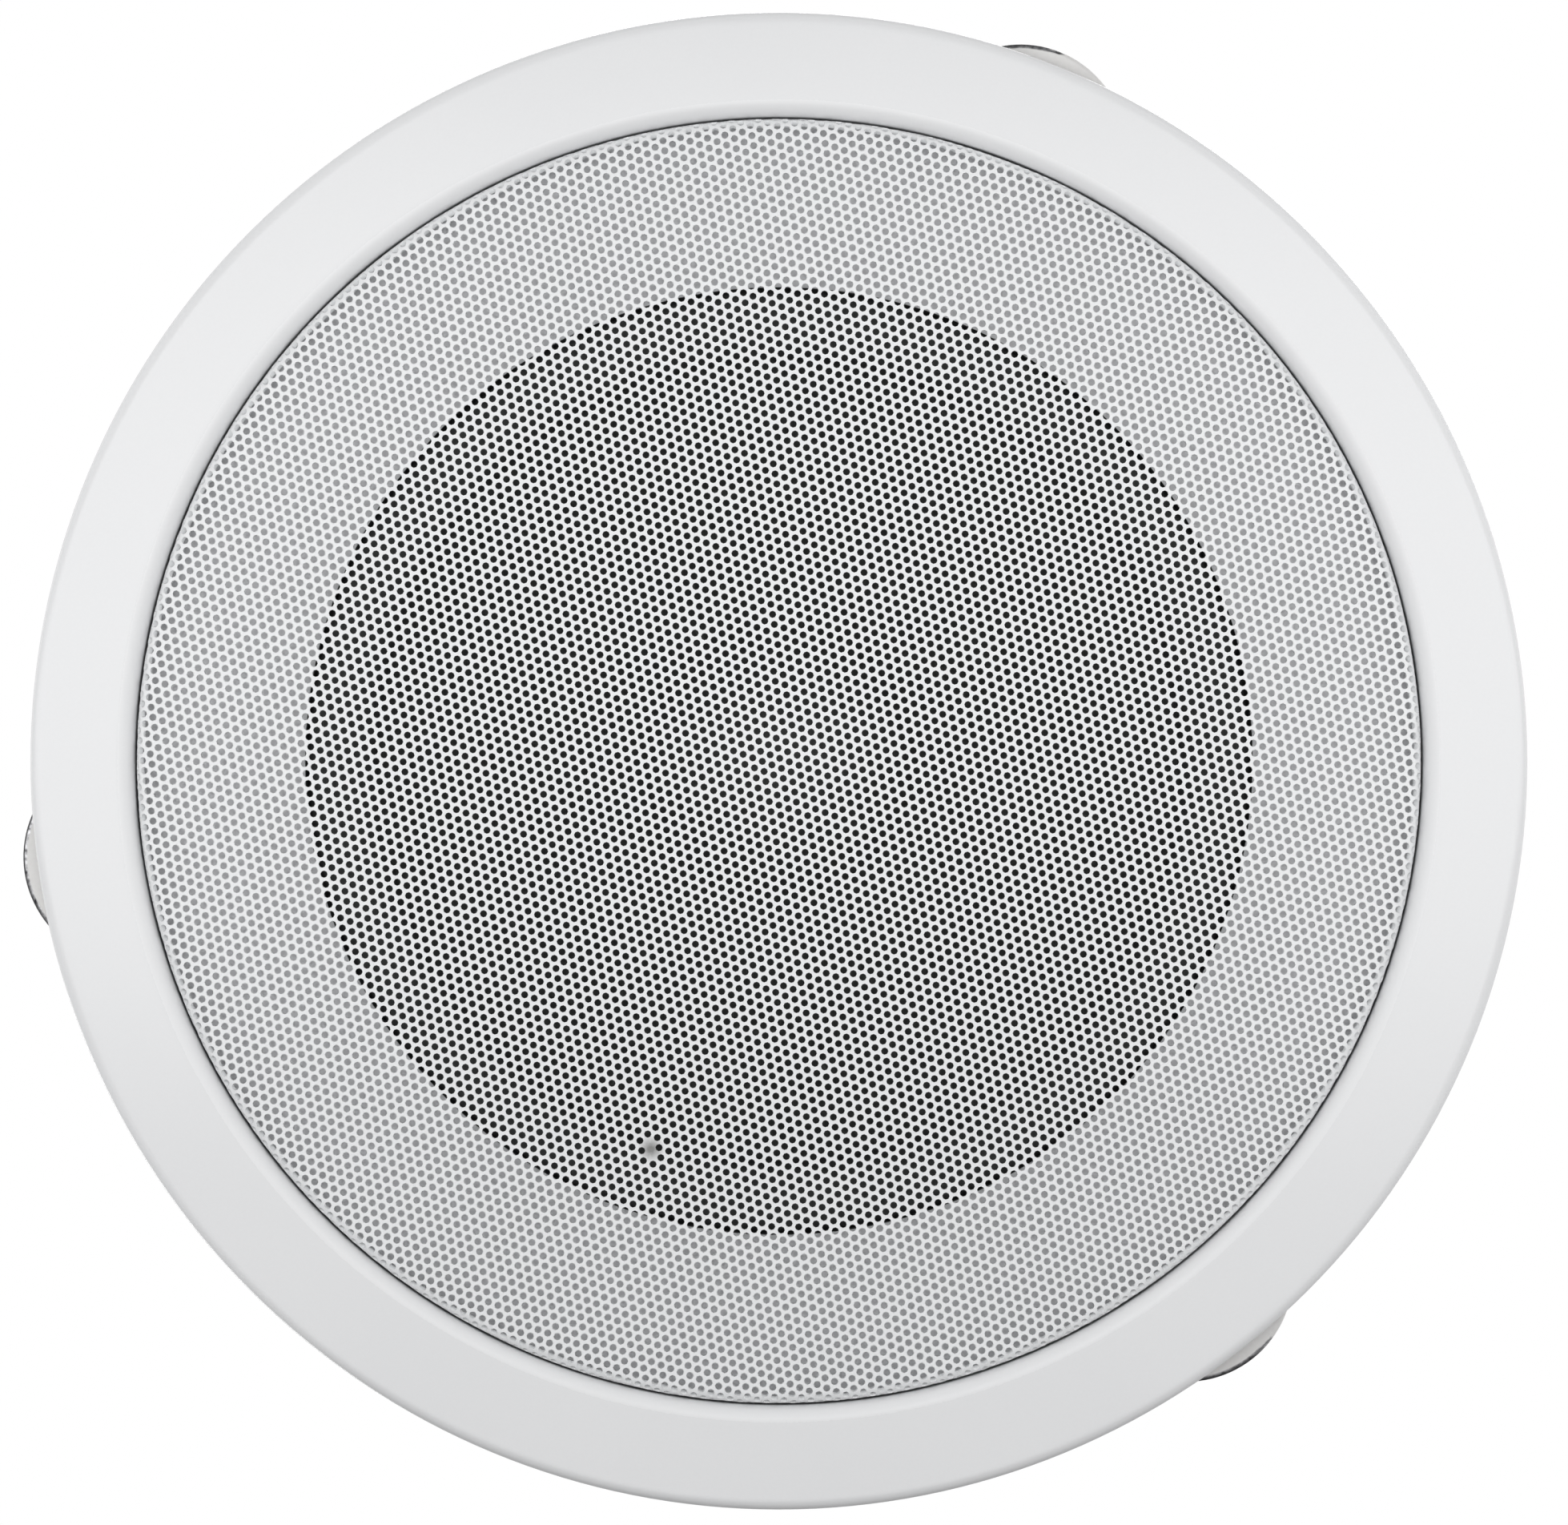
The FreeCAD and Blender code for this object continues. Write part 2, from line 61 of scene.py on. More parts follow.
SEAM = 0.002
FRAME_SHEET = 1.0
FLANGE_OUTER_BEND = 1.6
FLANGE_INNER_BEND = 2.4
RECESS_BEND = 1.5
GRILLE_GAP = 0.35
OPENING_R = 70.0
SPECK = (0.2, 0.19, 0.18)
SPECK_REACH = 0.1
FLANGE_PAINTED_TONE = 0.87
ROLL_PAINTED_SHADE = 0.97
ROLL_MATTER = 0.25
ROLL_FADES = (0.3, -1.0)


def corners_mm(node):
    """A solid's lowest and highest corners, in millimetres."""
    low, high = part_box(node)
    return low / MM, high / MM


def bent(path, bends, steps):
    """A path of flat points with each inner corner rounded to its bend."""
    line = [Vector(path[0])]
    for before, corner, after, bend in zip(path, path[1:], path[2:], bends):
        corner = Vector(corner)
        back = (Vector(before) - corner).normalized()
        ahead = (Vector(after) - corner).normalized()
        turn = math.pi - back.angle(ahead)
        centre = corner + (back + ahead).normalized() * bend / math.cos(turn / 2)
        first = corner + back * bend * math.tan(turn / 2) - centre
        last = corner + ahead * bend * math.tan(turn / 2) - centre
        for k in range(steps + 1):
            share = k / steps
            arc = first * math.sin((1 - share) * turn) + last * math.sin(share * turn)
            line.append(centre + arc / math.sin(turn))
    return line + [Vector(path[-1])]


def held(line, by=0.3):
    """A line with points added by the ends of its straight runs, so that flat sheet shades flat."""
    kept = [line[0]]
    for here, there in zip(line, line[1:]):
        run = there - here
        if run.length > 4 * by:
            step = run.normalized() * by
            kept += [here + step, there - step]
        kept.append(there)
    return kept


def walled(line, wall):
    """A closed outline: a line, then back along its left side at a wall's thickness."""
    sides = []
    for here, there in zip(line, line[1:]):
        step = (there - here).normalized()
        sides.append(Vector((-step.y, step.x)))
    other = []
    for i, point in enumerate(line):
        before = sides[max(i - 1, 0)]
        after = sides[min(i, len(sides) - 1)]
        other.append(point + (before + after) * wall / (1 + before.dot(after)))
    return line + other[::-1]


def in_scene(name, data):
    """A new object in the scene, from a mesh, a curve, a camera or a light."""
    made = bpy.data.objects.new(name, data)
    bpy.context.scene.collection.objects.link(made)
    return made


def smoothed(name, mesh, sharp):
    """A piece from a mesh, smooth apart from its sharp edges."""
    mesh.shade_smooth()
    mesh.set_sharp_from_angle(angle=math.radians(sharp))
    return in_scene(name, mesh)


def shell(name, points, faces, sharp=40):
    """A mesh piece with its seams merged and its faces outwards."""
    mesh = bpy.data.meshes.new(name)
    mesh.from_pydata(points, [], faces)
    skin = bmesh.new()
    skin.from_mesh(mesh)
    bmesh.ops.remove_doubles(skin, verts=skin.verts, dist=SEAM * MM)
    bmesh.ops.recalc_face_normals(skin, faces=skin.faces)
    skin.to_mesh(mesh)
    skin.free()
    return smoothed(name, mesh, sharp)


def stood(section, angle):
    """The points of a section of (radius, height), stood at an angle round the axis."""
    return [Vector((r * math.cos(angle), r * math.sin(angle), z)) * MM for r, z in section]


def ringed(rows, count, left_out=lambda row, k: False):
    """Faces between the rows of a closed ring, without those that are left out."""
    faces = []
    for row in range(rows):
        there = (row + 1) % rows
        for k in range(count):
            after = (k + 1) % count
            if not left_out(row, k):
                faces.append([row * count + k, there * count + k, there * count + after, row * count + after])
    return faces


def spun(name, outline, turns=192, sharp=40):
    """A closed outline of (radius, height), or one for each angle, turned round the axis."""
    points = []
    for i in range(turns):
        angle = math.tau * i / turns
        points += stood(outline(angle) if callable(outline) else outline, angle)
    return shell(name, points, ringed(turns, len(points) // turns), sharp)


def fitted(made, node, body, finish=None):
    """Puts a finished piece in its solid's place, on the body that carries it unless it bends."""
    if finish:
        made.data.materials.append(finish.material)
    if body:
        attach(made, body)
    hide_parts(node)


def wired(tree, kind, inputs=None, **settings):
    """A new node with its settings, and with values or links on the inputs that are named."""
    node = tree.nodes.new(kind)
    for key, value in settings.items():
        setattr(node, key, value)
    for key, value in (inputs or {}).items():
        if isinstance(value, bpy.types.NodeSocket):
            tree.links.new(value, node.inputs[key])
        else:
            node.inputs[key].default_value = value
    return node


def result(tree, kind, inputs=None, **settings):
    """The first output of a new node."""
    return wired(tree, kind, inputs, **settings).outputs[0]


def reckon(tree, operation, *values):
    """The result of a Math node on its numbers or sockets."""
    return result(tree, "ShaderNodeMath", dict(enumerate(values)), operation=operation)


def vectors(tree, operation, *values):
    """The outputs of a Vector Math node: a vector, then a value."""
    return wired(tree, "ShaderNodeVectorMath", dict(enumerate(values)), operation=operation).outputs


def ranged(tree, value, low, high, to_low=0.0, to_high=1.0):
    """A value moved from one range to another."""
    return result(tree, "ShaderNodeMapRange", dict(enumerate((value, low, high, to_low, to_high))))


def mixed(tree, share, first, second):
    """Two colours mixed by a share."""
    return wired(tree, "ShaderNodeMix", {0: share, 6: first, 7: second}, data_type="RGBA").outputs[2]


def noise(tree, place, scale, detail):
    """A cloudy value round a half."""
    return result(tree, "ShaderNodeTexNoise", {"Vector": place, "Scale": scale, "Detail": detail})


def new_group(name, kind, inputs, outputs):
    """An empty node group with named sockets, and its inner ends."""
    tree = bpy.data.node_groups.new(name, kind)
    for label, form in inputs.items():
        tree.interface.new_socket(label, in_out="INPUT", socket_type="NodeSocket" + form)
    for label, form in outputs.items():
        tree.interface.new_socket(label, in_out="OUTPUT", socket_type="NodeSocket" + form)
    return tree, tree.nodes.new("NodeGroupInput").outputs, tree.nodes.new("NodeGroupOutput").inputs


def grain_group():
    """Slow drifts of colour and gloss over a fine relief, as a coat, a casting or a pulp has."""
    inputs = {"Place": "Vector", "Light": "Color", "Dark": "Color"}
    inputs |= dict.fromkeys(("Grains", "Drifts", "Smooth", "Rough"), "Float")
    outputs = {"Colour": "Color", "Roughness": "Float", "Height": "Float"}
    tree, given, out = new_group("grain", "ShaderNodeTree", inputs, outputs)
    fine = noise(tree, given["Place"], given["Grains"], 2.0)
    slow = noise(tree, given["Place"], given["Drifts"], 4.0)
    speckle = ranged(tree, fine, 0.3, 0.7, 0.0, 0.4)
    shade = reckon(tree, "ADD", ranged(tree, slow, 0.3, 0.7, 0.0, 0.6), speckle)
    tree.links.new(mixed(tree, shade, given["Dark"], given["Light"]), out["Colour"])
    tree.links.new(ranged(tree, shade, 0.0, 1.0, given["Smooth"], given["Rough"]), out["Roughness"])
    tree.links.new(fine, out["Height"])
    return tree


grain = grain_group()


def under(finish, socket):
    """What feeds a finish's shader so far."""
    return finish.body[socket].links[0].from_socket


def pressed(finish, height, depth):
    """Presses a height into a finish, over any relief that it has."""
    inputs = {"Height": height, "Distance": depth * MM}
    if finish.body["Normal"].links:
        inputs["Normal"] = under(finish, "Normal")
    finish.tree.links.new(result(finish.tree, "ShaderNodeBump", inputs), finish.body["Normal"])


def tinted(finish, share, colour):
    """Lays another colour over a finish by a share."""
    over = (*colour, 1) if isinstance(colour, tuple) else colour
    blend = mixed(finish.tree, share, under(finish, "Base Color"), over)
    finish.tree.links.new(blend, finish.body["Base Color"])


def finish_of(name, light, dark, smooth, rough, grains, relief, drifts=60.0, metallic=0.0):
    """A new material that wears the grain, with the nodes that a piece's own detail builds on."""
    material = bpy.data.materials.new(name)
    material.use_nodes = True
    tree = material.node_tree
    tree.nodes.clear()
    place = tree.nodes.new("ShaderNodeTexCoord").outputs["Object"]
    wear = {"Place": place, "Light": (*light, 1), "Dark": (*dark, 1), "Grains": grains, "Drifts": drifts}
    wear |= {"Smooth": smooth, "Rough": rough}
    worn = wired(tree, "ShaderNodeGroup", wear, node_tree=grain).outputs
    looks = {"Base Color": worn["Colour"], "Roughness": worn["Roughness"], "Metallic": metallic}
    body = wired(tree, "ShaderNodeBsdfPrincipled", looks)
    tree.links.new(body.outputs[0], tree.nodes.new("ShaderNodeOutputMaterial").inputs["Surface"])
    finish = SimpleNamespace(material=material, tree=tree, place=place, body=body.inputs)
    pressed(finish, worn["Height"], relief)
    return finish


def specked(finish, cells_per_metre, share):
    """Lets a few specks of dust show under a coat."""
    tree = finish.tree
    cells = wired(tree, "ShaderNodeTexVoronoi", {"Vector": finish.place, "Scale": cells_per_metre}).outputs
    drawn = result(tree, "ShaderNodeSeparateColor", {"Color": cells["Color"]})
    rare = reckon(tree, "LESS_THAN", drawn, share)
    near = reckon(tree, "LESS_THAN", cells["Distance"], SPECK_REACH)
    tinted(finish, reckon(tree, "MULTIPLY", rare, near), SPECK)


def away_from(finish, x=0.0, y=0.0):
    """A point's distance from the speaker's axis, or from a line beside it."""
    flat = vectors(finish.tree, "MULTIPLY", finish.place, (1, 1, 0))[0]
    return vectors(finish.tree, "DISTANCE", flat, (x * MM, y * MM, 0))["Value"]


def painted_shading(finish, share, keep, matter=0.0):
    """Darkens a coat's colour by a share, as painted light and shade, and can make its gloss more matt by the
    same share.
    """
    tree = finish.tree
    tinted(finish, share, vectors(tree, "MULTIPLY", under(finish, "Base Color"), (keep, keep, keep))[0])
    gloss = reckon(tree, "MULTIPLY_ADD", share, matter, under(finish, "Roughness"))
    tree.links.new(gloss, finish.body["Roughness"])


frame_low, frame_high = corners_mm("front_frame")
flange_r = frame_high.x
face_z = frame_low.z
floor_back_z = frame_high.z
floor_z = floor_back_z - FRAME_SHEET
recess_r = corners_mm("grille")[1].x + GRILLE_GAP
roll_r = recess_r + FLANGE_INNER_BEND
pan_bends = bent(
    [(OPENING_R, floor_z), (recess_r, floor_z), (recess_r, face_z), (flange_r, face_z), (flange_r, 0)],
    [RECESS_BEND, FLANGE_INNER_BEND, FLANGE_OUTER_BEND],
    steps=10,
)
frame_paint = finish_of(
    "frame_paint", (0.952, 0.957, 0.967), (0.925, 0.931, 0.943), 0.19, 0.25, 2400, 0.003, drifts=25
)
specked(frame_paint, 240, 0.004)
frame_paint.body["Specular IOR Level"].default_value = 0.62
# Painted light: the coat from the recess's edge outwards is darkened against the coat in the recess, so that
# the recess, in shade behind the grille, is painted lighter than the flange.
from_axis = away_from(frame_paint)
on_flange = ranged(frame_paint.tree, from_axis, (recess_r - FLANGE_INNER_BEND) * MM, recess_r * MM)
before_flat = ranged(frame_paint.tree, from_axis, *((roll_r + fade) * MM for fade in ROLL_FADES))
painted_shading(frame_paint, on_flange, FLANGE_PAINTED_TONE)
# Painted shade: a band of the inner roll next to the gap round the grille is darkened a little, and its gloss
# is made more matt.
roll_shade = reckon(frame_paint.tree, "MULTIPLY", on_flange, before_flat)
painted_shading(frame_paint, roll_shade, ROLL_PAINTED_SHADE, ROLL_MATTER)
pan = spun("pan", walled(held(pan_bends), FRAME_SHEET), 256)
fitted(pan, "front_frame", "root", frame_paint)

# Studs: four M4 studs welded to the back of the pan's floor, so that no screw shows in front.
# Rolled thread, zinc plated steel.
STUD_R = 77.6
STUD_COUNT = 4
STUD_FIRST_ANGLE = math.radians(45)
STUD_CREST_R = 2.0
STUD_LEAD_IN = 0.4
THREAD_PITCH = 0.7
THREAD_DEPTH = 0.3
THREAD_ROWS = 6


def turn_of(tree, angle):
    """A turn about the speaker's axis."""
    return result(tree, "FunctionNodeAxisAngleToRotation", {"Axis": (0, 0, 1), "Angle": angle})


def dressed(tree, pieces, finish, out):
    """Ends a piece's tree: its copies are made real and its finish is put on."""
    real = result(tree, "GeometryNodeRealizeInstances", {"Geometry": pieces})
    tree.links.new(result(tree, "GeometryNodeSetMaterial", {"Geometry": real, "Material": finish}), out)
    return tree


def round_pattern():
    """Copies of one piece, evenly spaced round the speaker's axis."""
    inputs = {"Piece": "Geometry", "Copies": "Int", "First angle": "Float", "Finish": "Material"}
    tree, given, out = new_group("round_pattern", "GeometryNodeTree", inputs, {"Pieces": "Geometry"})
    points = result(tree, "GeometryNodePoints", {"Count": given["Copies"]})
    step = reckon(tree, "DIVIDE", math.tau, given["Copies"])
    index = result(tree, "GeometryNodeInputIndex")
    angle = reckon(tree, "MULTIPLY_ADD", index, step, given["First angle"])
    copies = {"Points": points, "Instance": given["Piece"], "Rotation": turn_of(tree, angle)}
    placed = result(tree, "GeometryNodeInstanceOnPoints", copies)
    return dressed(tree, placed, given["Finish"], out["Pieces"])


def settled(piece, sharp=40):
    """A piece with its modifiers run, kept as a plain mesh piece of the same name."""
    bpy.context.view_layer.update()
    ready = bpy.context.evaluated_depsgraph_get()
    run = piece.evaluated_get(ready)
    mesh = bpy.data.meshes.new_from_object(run, preserve_all_data_layers=True, depsgraph=ready)
    name = piece.name
    bpy.data.objects.remove(piece)
    mesh.name = name
    return smoothed(name, mesh, sharp)


def grown(piece, tree, sharp=40, **values):
    """A piece's node tree run once with its sizes, and its result kept as a plain mesh piece."""
    nodes = piece.modifiers.new(tree.name, "NODES")
    nodes.node_group = tree
    for item in tree.interface.items_tree:
        key = item.name.lower().replace(" ", "_")
        if item.in_out == "INPUT" and key in values:
            nodes[item.identifier] = values[key]
    return settled(piece, sharp)


def set_at(made, x, y, z):
    """Moves a piece's mesh to its place, in millimetres."""
    made.data.transform(Matrix.Translation(Vector((x, y, z)) * MM))
    return made


def height_mm(node):
    """A solid's height."""
    low, high = corners_mm(node)
    return high.z - low.z


def set_of(node, name, outline, turns, sharp):
    """Like fasteners round the driver, one at each stud, in their solid's place."""
    single = set_at(spun(name, outline, turns, sharp), STUD_R, 0, corners_mm(node)[0].z)
    finish = fastener_steel.material
    group = grown(single, pattern, sharp, copies=STUD_COUNT, first_angle=STUD_FIRST_ANGLE, finish=finish)
    fitted(group, node, "root")


stud_length = height_mm("driver_studs")


def stud_outline(angle):
    """A stud's section at an angle, with the thread's slope turning round it."""
    rows = int(stud_length / THREAD_PITCH * THREAD_ROWS)
    edge = [(0.0, 0.0)]
    for row in range(rows + 1):
        z = stud_length * row / rows
        climb = (z / THREAD_PITCH - angle / math.tau) % 1
        full = min(1.0, (stud_length - z) / THREAD_PITCH)
        groove = THREAD_DEPTH * abs(2 * climb - 1)
        edge.append((STUD_CREST_R - groove - STUD_LEAD_IN * (1 - full), z))
    return edge + [(0.0, stud_length)]


pattern = round_pattern()
fastener_steel = finish_of(
    "fastener_steel", (0.74, 0.74, 0.76), (0.55, 0.55, 0.57), 0.24, 0.42, 2500, 0.004, metallic=1.0
)
set_of("driver_studs", "welded_studs", stud_outline, 20, 60)

# Gasket: a ring of black closed-cell foam between the pan's floor and the driver's rim. It is die
# cut, so its edges are square with a slight squeeze.
GASKET_WIDTH = 4.4
GASKET_BULGE = 0.25
gasket_low, gasket_high = corners_mm("gasket")
gasket_outline = [
    (gasket_high.x - GASKET_WIDTH, gasket_low.z),
    (gasket_high.x - GASKET_BULGE, gasket_low.z),
    (gasket_high.x, (gasket_low.z + gasket_high.z) / 2),
    (gasket_high.x - GASKET_BULGE, gasket_high.z),
    (gasket_high.x - GASKET_WIDTH, gasket_high.z),
]
foam = finish_of("foam", (0.05, 0.05, 0.052), (0.022, 0.022, 0.024), 0.8, 0.95, 3000, 0.1)
fitted(spun("foam_ring", gasket_outline), "gasket", "root", foam)

# Basket: the driver's chassis, stamped from 1 mm steel. Six windows leave six spokes between the
# rim and the shelf, and a neck below the shelf carries the magnet. Semi-gloss black coat.
BASKET_SHEET = 1.0
BASKET_EDGE = 0.25
RIM_INNER_R = 70.8
RIM_BEND = 1.5
SHELF_R = 39.85
SHELF_Z = 30.0
NECK_R = 33.85
NECK_BENDS = (1.0, 0.8, 1.2)
BASE_BORE_R = 21.85
WALL_RUN = 3.0
WINDOW_COUNT = 6
WINDOW_ANGLE = math.radians(40)
WINDOW_LOW_Z = 12.0
WINDOW_HIGH_Z = 24.0
WINDOW_CORNER = 2.5
WINDOW_STEPS = 8
CORNER_STEPS = 4
SPOKE_STEPS = 6
EASED_ANGLE = math.radians(50)
basket_low, basket_high = corners_mm("basket")
rim_z = basket_low.z
base_z = basket_high.z - BASKET_SHEET


def on_wall(z):
    """A point of the sloping wall's inside, at a height."""
    return RIM_INNER_R + (SHELF_R - RIM_INNER_R) * (z - rim_z) / (SHELF_Z - rim_z), z


def window_columns():
    """Angles round the wall, with how far a window's edges curve in at each, and whether it is open."""
    corner_angle = WINDOW_CORNER / on_wall((WINDOW_LOW_Z + WINDOW_HIGH_Z) / 2)[0]
    half = WINDOW_ANGLE / 2
    pitch = math.tau / WINDOW_COUNT
    straight = half - corner_angle
    edge = [1 - math.cos(math.pi / 2 * k / CORNER_STEPS) for k in range(CORNER_STEPS + 1)]
    curve = [(half - corner_angle * e, WINDOW_CORNER * (1 - math.sin(math.acos(1 - e)))) for e in edge]
    columns = []
    for i in range(WINDOW_COUNT):
        middle = pitch * i
        columns += [(middle - out, drop, True) for out, drop in curve]
        for k in range(1, WINDOW_STEPS):
            columns.append((middle - straight + straight * k / WINDOW_STEPS * 2, 0.0, True))
        columns += [(middle + out, drop, True) for out, drop in curve[:0:-1]]
        for k in range(SPOKE_STEPS):
            columns.append((middle + half + (pitch - 2 * half) * k / SPOKE_STEPS, WINDOW_CORNER, False))
    return columns


def basket_skin():
    """The chassis as one skin: its section turned round, left open where the windows are."""
    neck = [(BASE_BORE_R, base_z), (NECK_R, base_z), (NECK_R, SHELF_Z), (SHELF_R, SHELF_Z)]
    inner = held(bent(neck + [on_wall(SHELF_Z - WALL_RUN)], NECK_BENDS, 5))
    rim = [on_wall(rim_z + WALL_RUN), (RIM_INNER_R, rim_z), (basket_high.x, rim_z)]
    outer = held(bent(rim, [RIM_BEND], 5))
    columns = window_columns()
    points = []
    for angle, drop, _ in columns:
        window = [Vector(on_wall(z)) for z in (WINDOW_HIGH_Z - drop, WINDOW_LOW_Z + drop)]
        points += stood(inner + window + outer, angle)
    count = len(points) // len(columns)
    faces = ringed(len(columns), count, lambda i, k: k == count - 1 or columns[i][2] and k == len(inner))
    return shell("chassis", points, faces)


def eased(made, edge, clamped=True):
    """A piece with its sharp edges rounded."""
    ease = made.modifiers.new("eased", "BEVEL")
    ease.width = edge * MM
    ease.segments = 3
    ease.limit_method = "ANGLE"
    ease.angle_limit = EASED_ANGLE
    ease.use_clamp_overlap = clamped
    return settled(made)


def thickened(made, sheet, edge):
    """A skin given its sheet's thickness on its outer side, with its cut edges eased."""
    wall = made.modifiers.new("sheet", "SOLIDIFY")
    wall.thickness = sheet * MM
    wall.offset = 1.0
    wall.use_even_offset = True
    return eased(made, edge, clamped=False)


basket_paint = finish_of(
    "basket_paint", (0.03, 0.03, 0.032), (0.018, 0.018, 0.02), 0.3, 0.42, 900, 0.006, drifts=40
)
specked(basket_paint, 300, 0.004)
chassis = thickened(basket_skin(), BASKET_SHEET, BASKET_EDGE)
fitted(chassis, "basket", "root", basket_paint)

# Spider, former and coil: the moving system's back end. A disc of resin-stiffened cloth, pressed
# into round pleats, centres an aluminium former, and copper wire is wound on the former's end.
SPIDER_PLEATS = 5
SPIDER_PLEAT_HEIGHT = 1.1
SPIDER_SHEET = 0.4
SPIDER_FLAT = (2.5, 4.5)
SPIDER_GLUED = (1.0, 3.0)
SPIDER_STEPS = 72
CLOTH_THREADS = 1600.0
GLUE_GAP = 0.1
FORMER_SHEET = 0.3
COIL_WIRE = 0.25
COIL_GROOVE = 0.24
spider_low, spider_high = corners_mm("spider")
former_low, former_high = corners_mm("coil_former")
coil_low, coil_high = corners_mm("voice_coil")
former_r = former_high.x
cloth_start = former_r + GLUE_GAP
cloth_end = spider_high.x
pleat_start = former_r + SPIDER_FLAT[0]
pleat_end = cloth_end - SPIDER_FLAT[1]


def spider_z(r):
    """The pleated cloth's height at a radius."""
    share = min(max((r - pleat_start) / (pleat_end - pleat_start), 0.0), 1.0)
    return spider_low.z - SPIDER_PLEAT_HEIGHT / 2 * (1 - math.cos(math.tau * SPIDER_PLEATS * share))


def bends_between(made, inner_r, outer_r):
    """Bakes a soft ring's place into its mesh, and works out how far each point lies between its inner and
    outer radius, without using it.
    """
    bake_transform(made)
    for vertex in made.data.vertices:
        share = (outer_r - vertex.co.xy.length / MM) / (outer_r - inner_r)
        share = min(max(share, 0.0), 1.0)
    return made


def weave_group():
    """The over and under of crossed threads, from how far across and along a point lies."""
    inputs = {"Across": "Float", "Along": "Float"}
    tree, given, out = new_group("weave", "ShaderNodeTree", inputs, {"Height": "Float", "Gap": "Float"})
    warp = reckon(tree, "SINE", reckon(tree, "MULTIPLY", given["Across"], math.pi))
    weft = reckon(tree, "SINE", reckon(tree, "MULTIPLY", given["Along"], math.pi))
    over = reckon(tree, "MULTIPLY", warp, weft)
    open_part = reckon(tree, "MAXIMUM", reckon(tree, "ABSOLUTE", warp), reckon(tree, "ABSOLUTE", weft))
    tree.links.new(ranged(tree, over, -1.0, 1.0), out["Height"])
    tree.links.new(ranged(tree, open_part, 0.35, 0.1), out["Gap"])
    return tree


weave = weave_group()


def woven(finish, across, along, depth, gap_colour):
    """Presses a weave into a finish and paints shade into the gaps between its threads."""
    inputs = {"Across": across, "Along": along}
    threads = wired(finish.tree, "ShaderNodeGroup", inputs, node_tree=weave).outputs
    # Painted shade in the gaps between threads.
    tinted(finish, threads["Gap"], gap_colour)
    pressed(finish, threads["Height"], depth)


def split(tree, place):
    """A place's X, Y and Z."""
    return wired(tree, "ShaderNodeSeparateXYZ", {"Vector": place}).outputs


spider_cloth = finish_of("spider_cloth", (0.62, 0.46, 0.2), (0.45, 0.31, 0.12), 0.6, 0.8, 900, 0.01)
cloth_place = split(spider_cloth.tree, spider_cloth.place)
warp_and_weft = [reckon(spider_cloth.tree, "MULTIPLY", cloth_place[way], CLOTH_THREADS) for way in "XY"]
woven(spider_cloth, *warp_and_weft, 0.05, (0.2, 0.12, 0.05))
cloth_line = []
for k in range(SPIDER_STEPS + 1):
    cloth_r = cloth_start + (cloth_end - cloth_start) * k / SPIDER_STEPS
    cloth_line.append(Vector((cloth_r, spider_z(cloth_r))))
spider = spun("pleated_spider", walled(cloth_line, SPIDER_SHEET), 144)
bends_between(spider, former_r + SPIDER_GLUED[0], cloth_end - SPIDER_GLUED[1])
fitted(spider, "spider", None, spider_cloth)


def banded(finish, position, per_metre, depth, dark, share):
    """Fine bands across a position, as a lathe tool or a winding leaves them, with painted shade in their
    troughs.
    """
    tree = finish.tree
    wave = reckon(tree, "SINE", reckon(tree, "MULTIPLY", position, math.tau * per_metre))
    height = ranged(tree, wave, -1.0, 1.0)
    pressed(finish, height, depth)
    # Painted shade: the troughs between the bands are darkened.
    tinted(finish, reckon(tree, "MULTIPLY", reckon(tree, "SUBTRACT", 1.0, height), share), dark)


def oblong(left, right, low, high):
    """The four corners of a rectangle."""
    return [(left, low), (right, low), (right, high), (left, high)]


former_foil = finish_of(
    "former_foil", (0.8, 0.8, 0.82), (0.62, 0.62, 0.64), 0.25, 0.4, 1500, 0.004, metallic=1.0
)
foil_z = split(former_foil.tree, former_foil.place)["Z"]
banded(former_foil, foil_z, 900, 0.004, (0.45, 0.45, 0.47), 0.3)
former_outline = oblong(former_r - FORMER_SHEET, former_r, former_low.z, former_high.z)
fitted(spun("foil_former", former_outline, 96), "coil_former", "diaphragm", former_foil)
coil_wire = finish_of(
    "coil_wire", (0.72, 0.3, 0.12), (0.5, 0.17, 0.06), 0.2, 0.35, 4000, 0.003, metallic=1.0
)
wire_z = split(coil_wire.tree, coil_wire.place)["Z"]
banded(coil_wire, wire_z, 1 / (COIL_WIRE * MM), 0.06, (0.2, 0.06, 0.02), 0.6)
coil_outline = [(former_r, coil_low.z)]
for k in range(int((coil_high.z - coil_low.z) / COIL_WIRE)):
    for share, sunk in ((0.1, COIL_GROOVE), (0.5, 0.0), (0.9, COIL_GROOVE)):
        coil_outline.append((coil_high.x - sunk * COIL_WIRE, coil_low.z + COIL_WIRE * (k + share)))
coil_outline.append((former_r, coil_high.z))
winding = spun("copper_winding", coil_outline, 96, sharp=70)
fitted(winding, "voice_coil", "diaphragm", coil_wire)

# Cone, dust cap and surround: a cone of dark pressed paper pulp, a domed cap glued over the coil,
# and a half roll of soft foam that joins the cone's edge to the basket's rim.
CONE_SHEET = 0.6
CONE_STEPS = 60
CONE_RIDGES = 4
CONE_RIDGE_HEIGHT = 0.25
CONE_RIDGED = (0.1, 0.6)
DUST_CAP_SHEET = 0.5
SURROUND_SHEET = 0.5
ROLL_IN_R = 59.8
ROLL_OUT_R = 69.4
ROLL_FULLNESS = 0.8
ARC_STEPS = 24
FIBRES_PER_METRE = 900
cap_low, cap_high = corners_mm("dust_cap")
surround_low, surround_high = corners_mm("surround")
cone_neck = Vector((former_r + GLUE_GAP, former_low.z))
cone_edge = Vector((ROLL_IN_R - GLUE_GAP, rim_z))


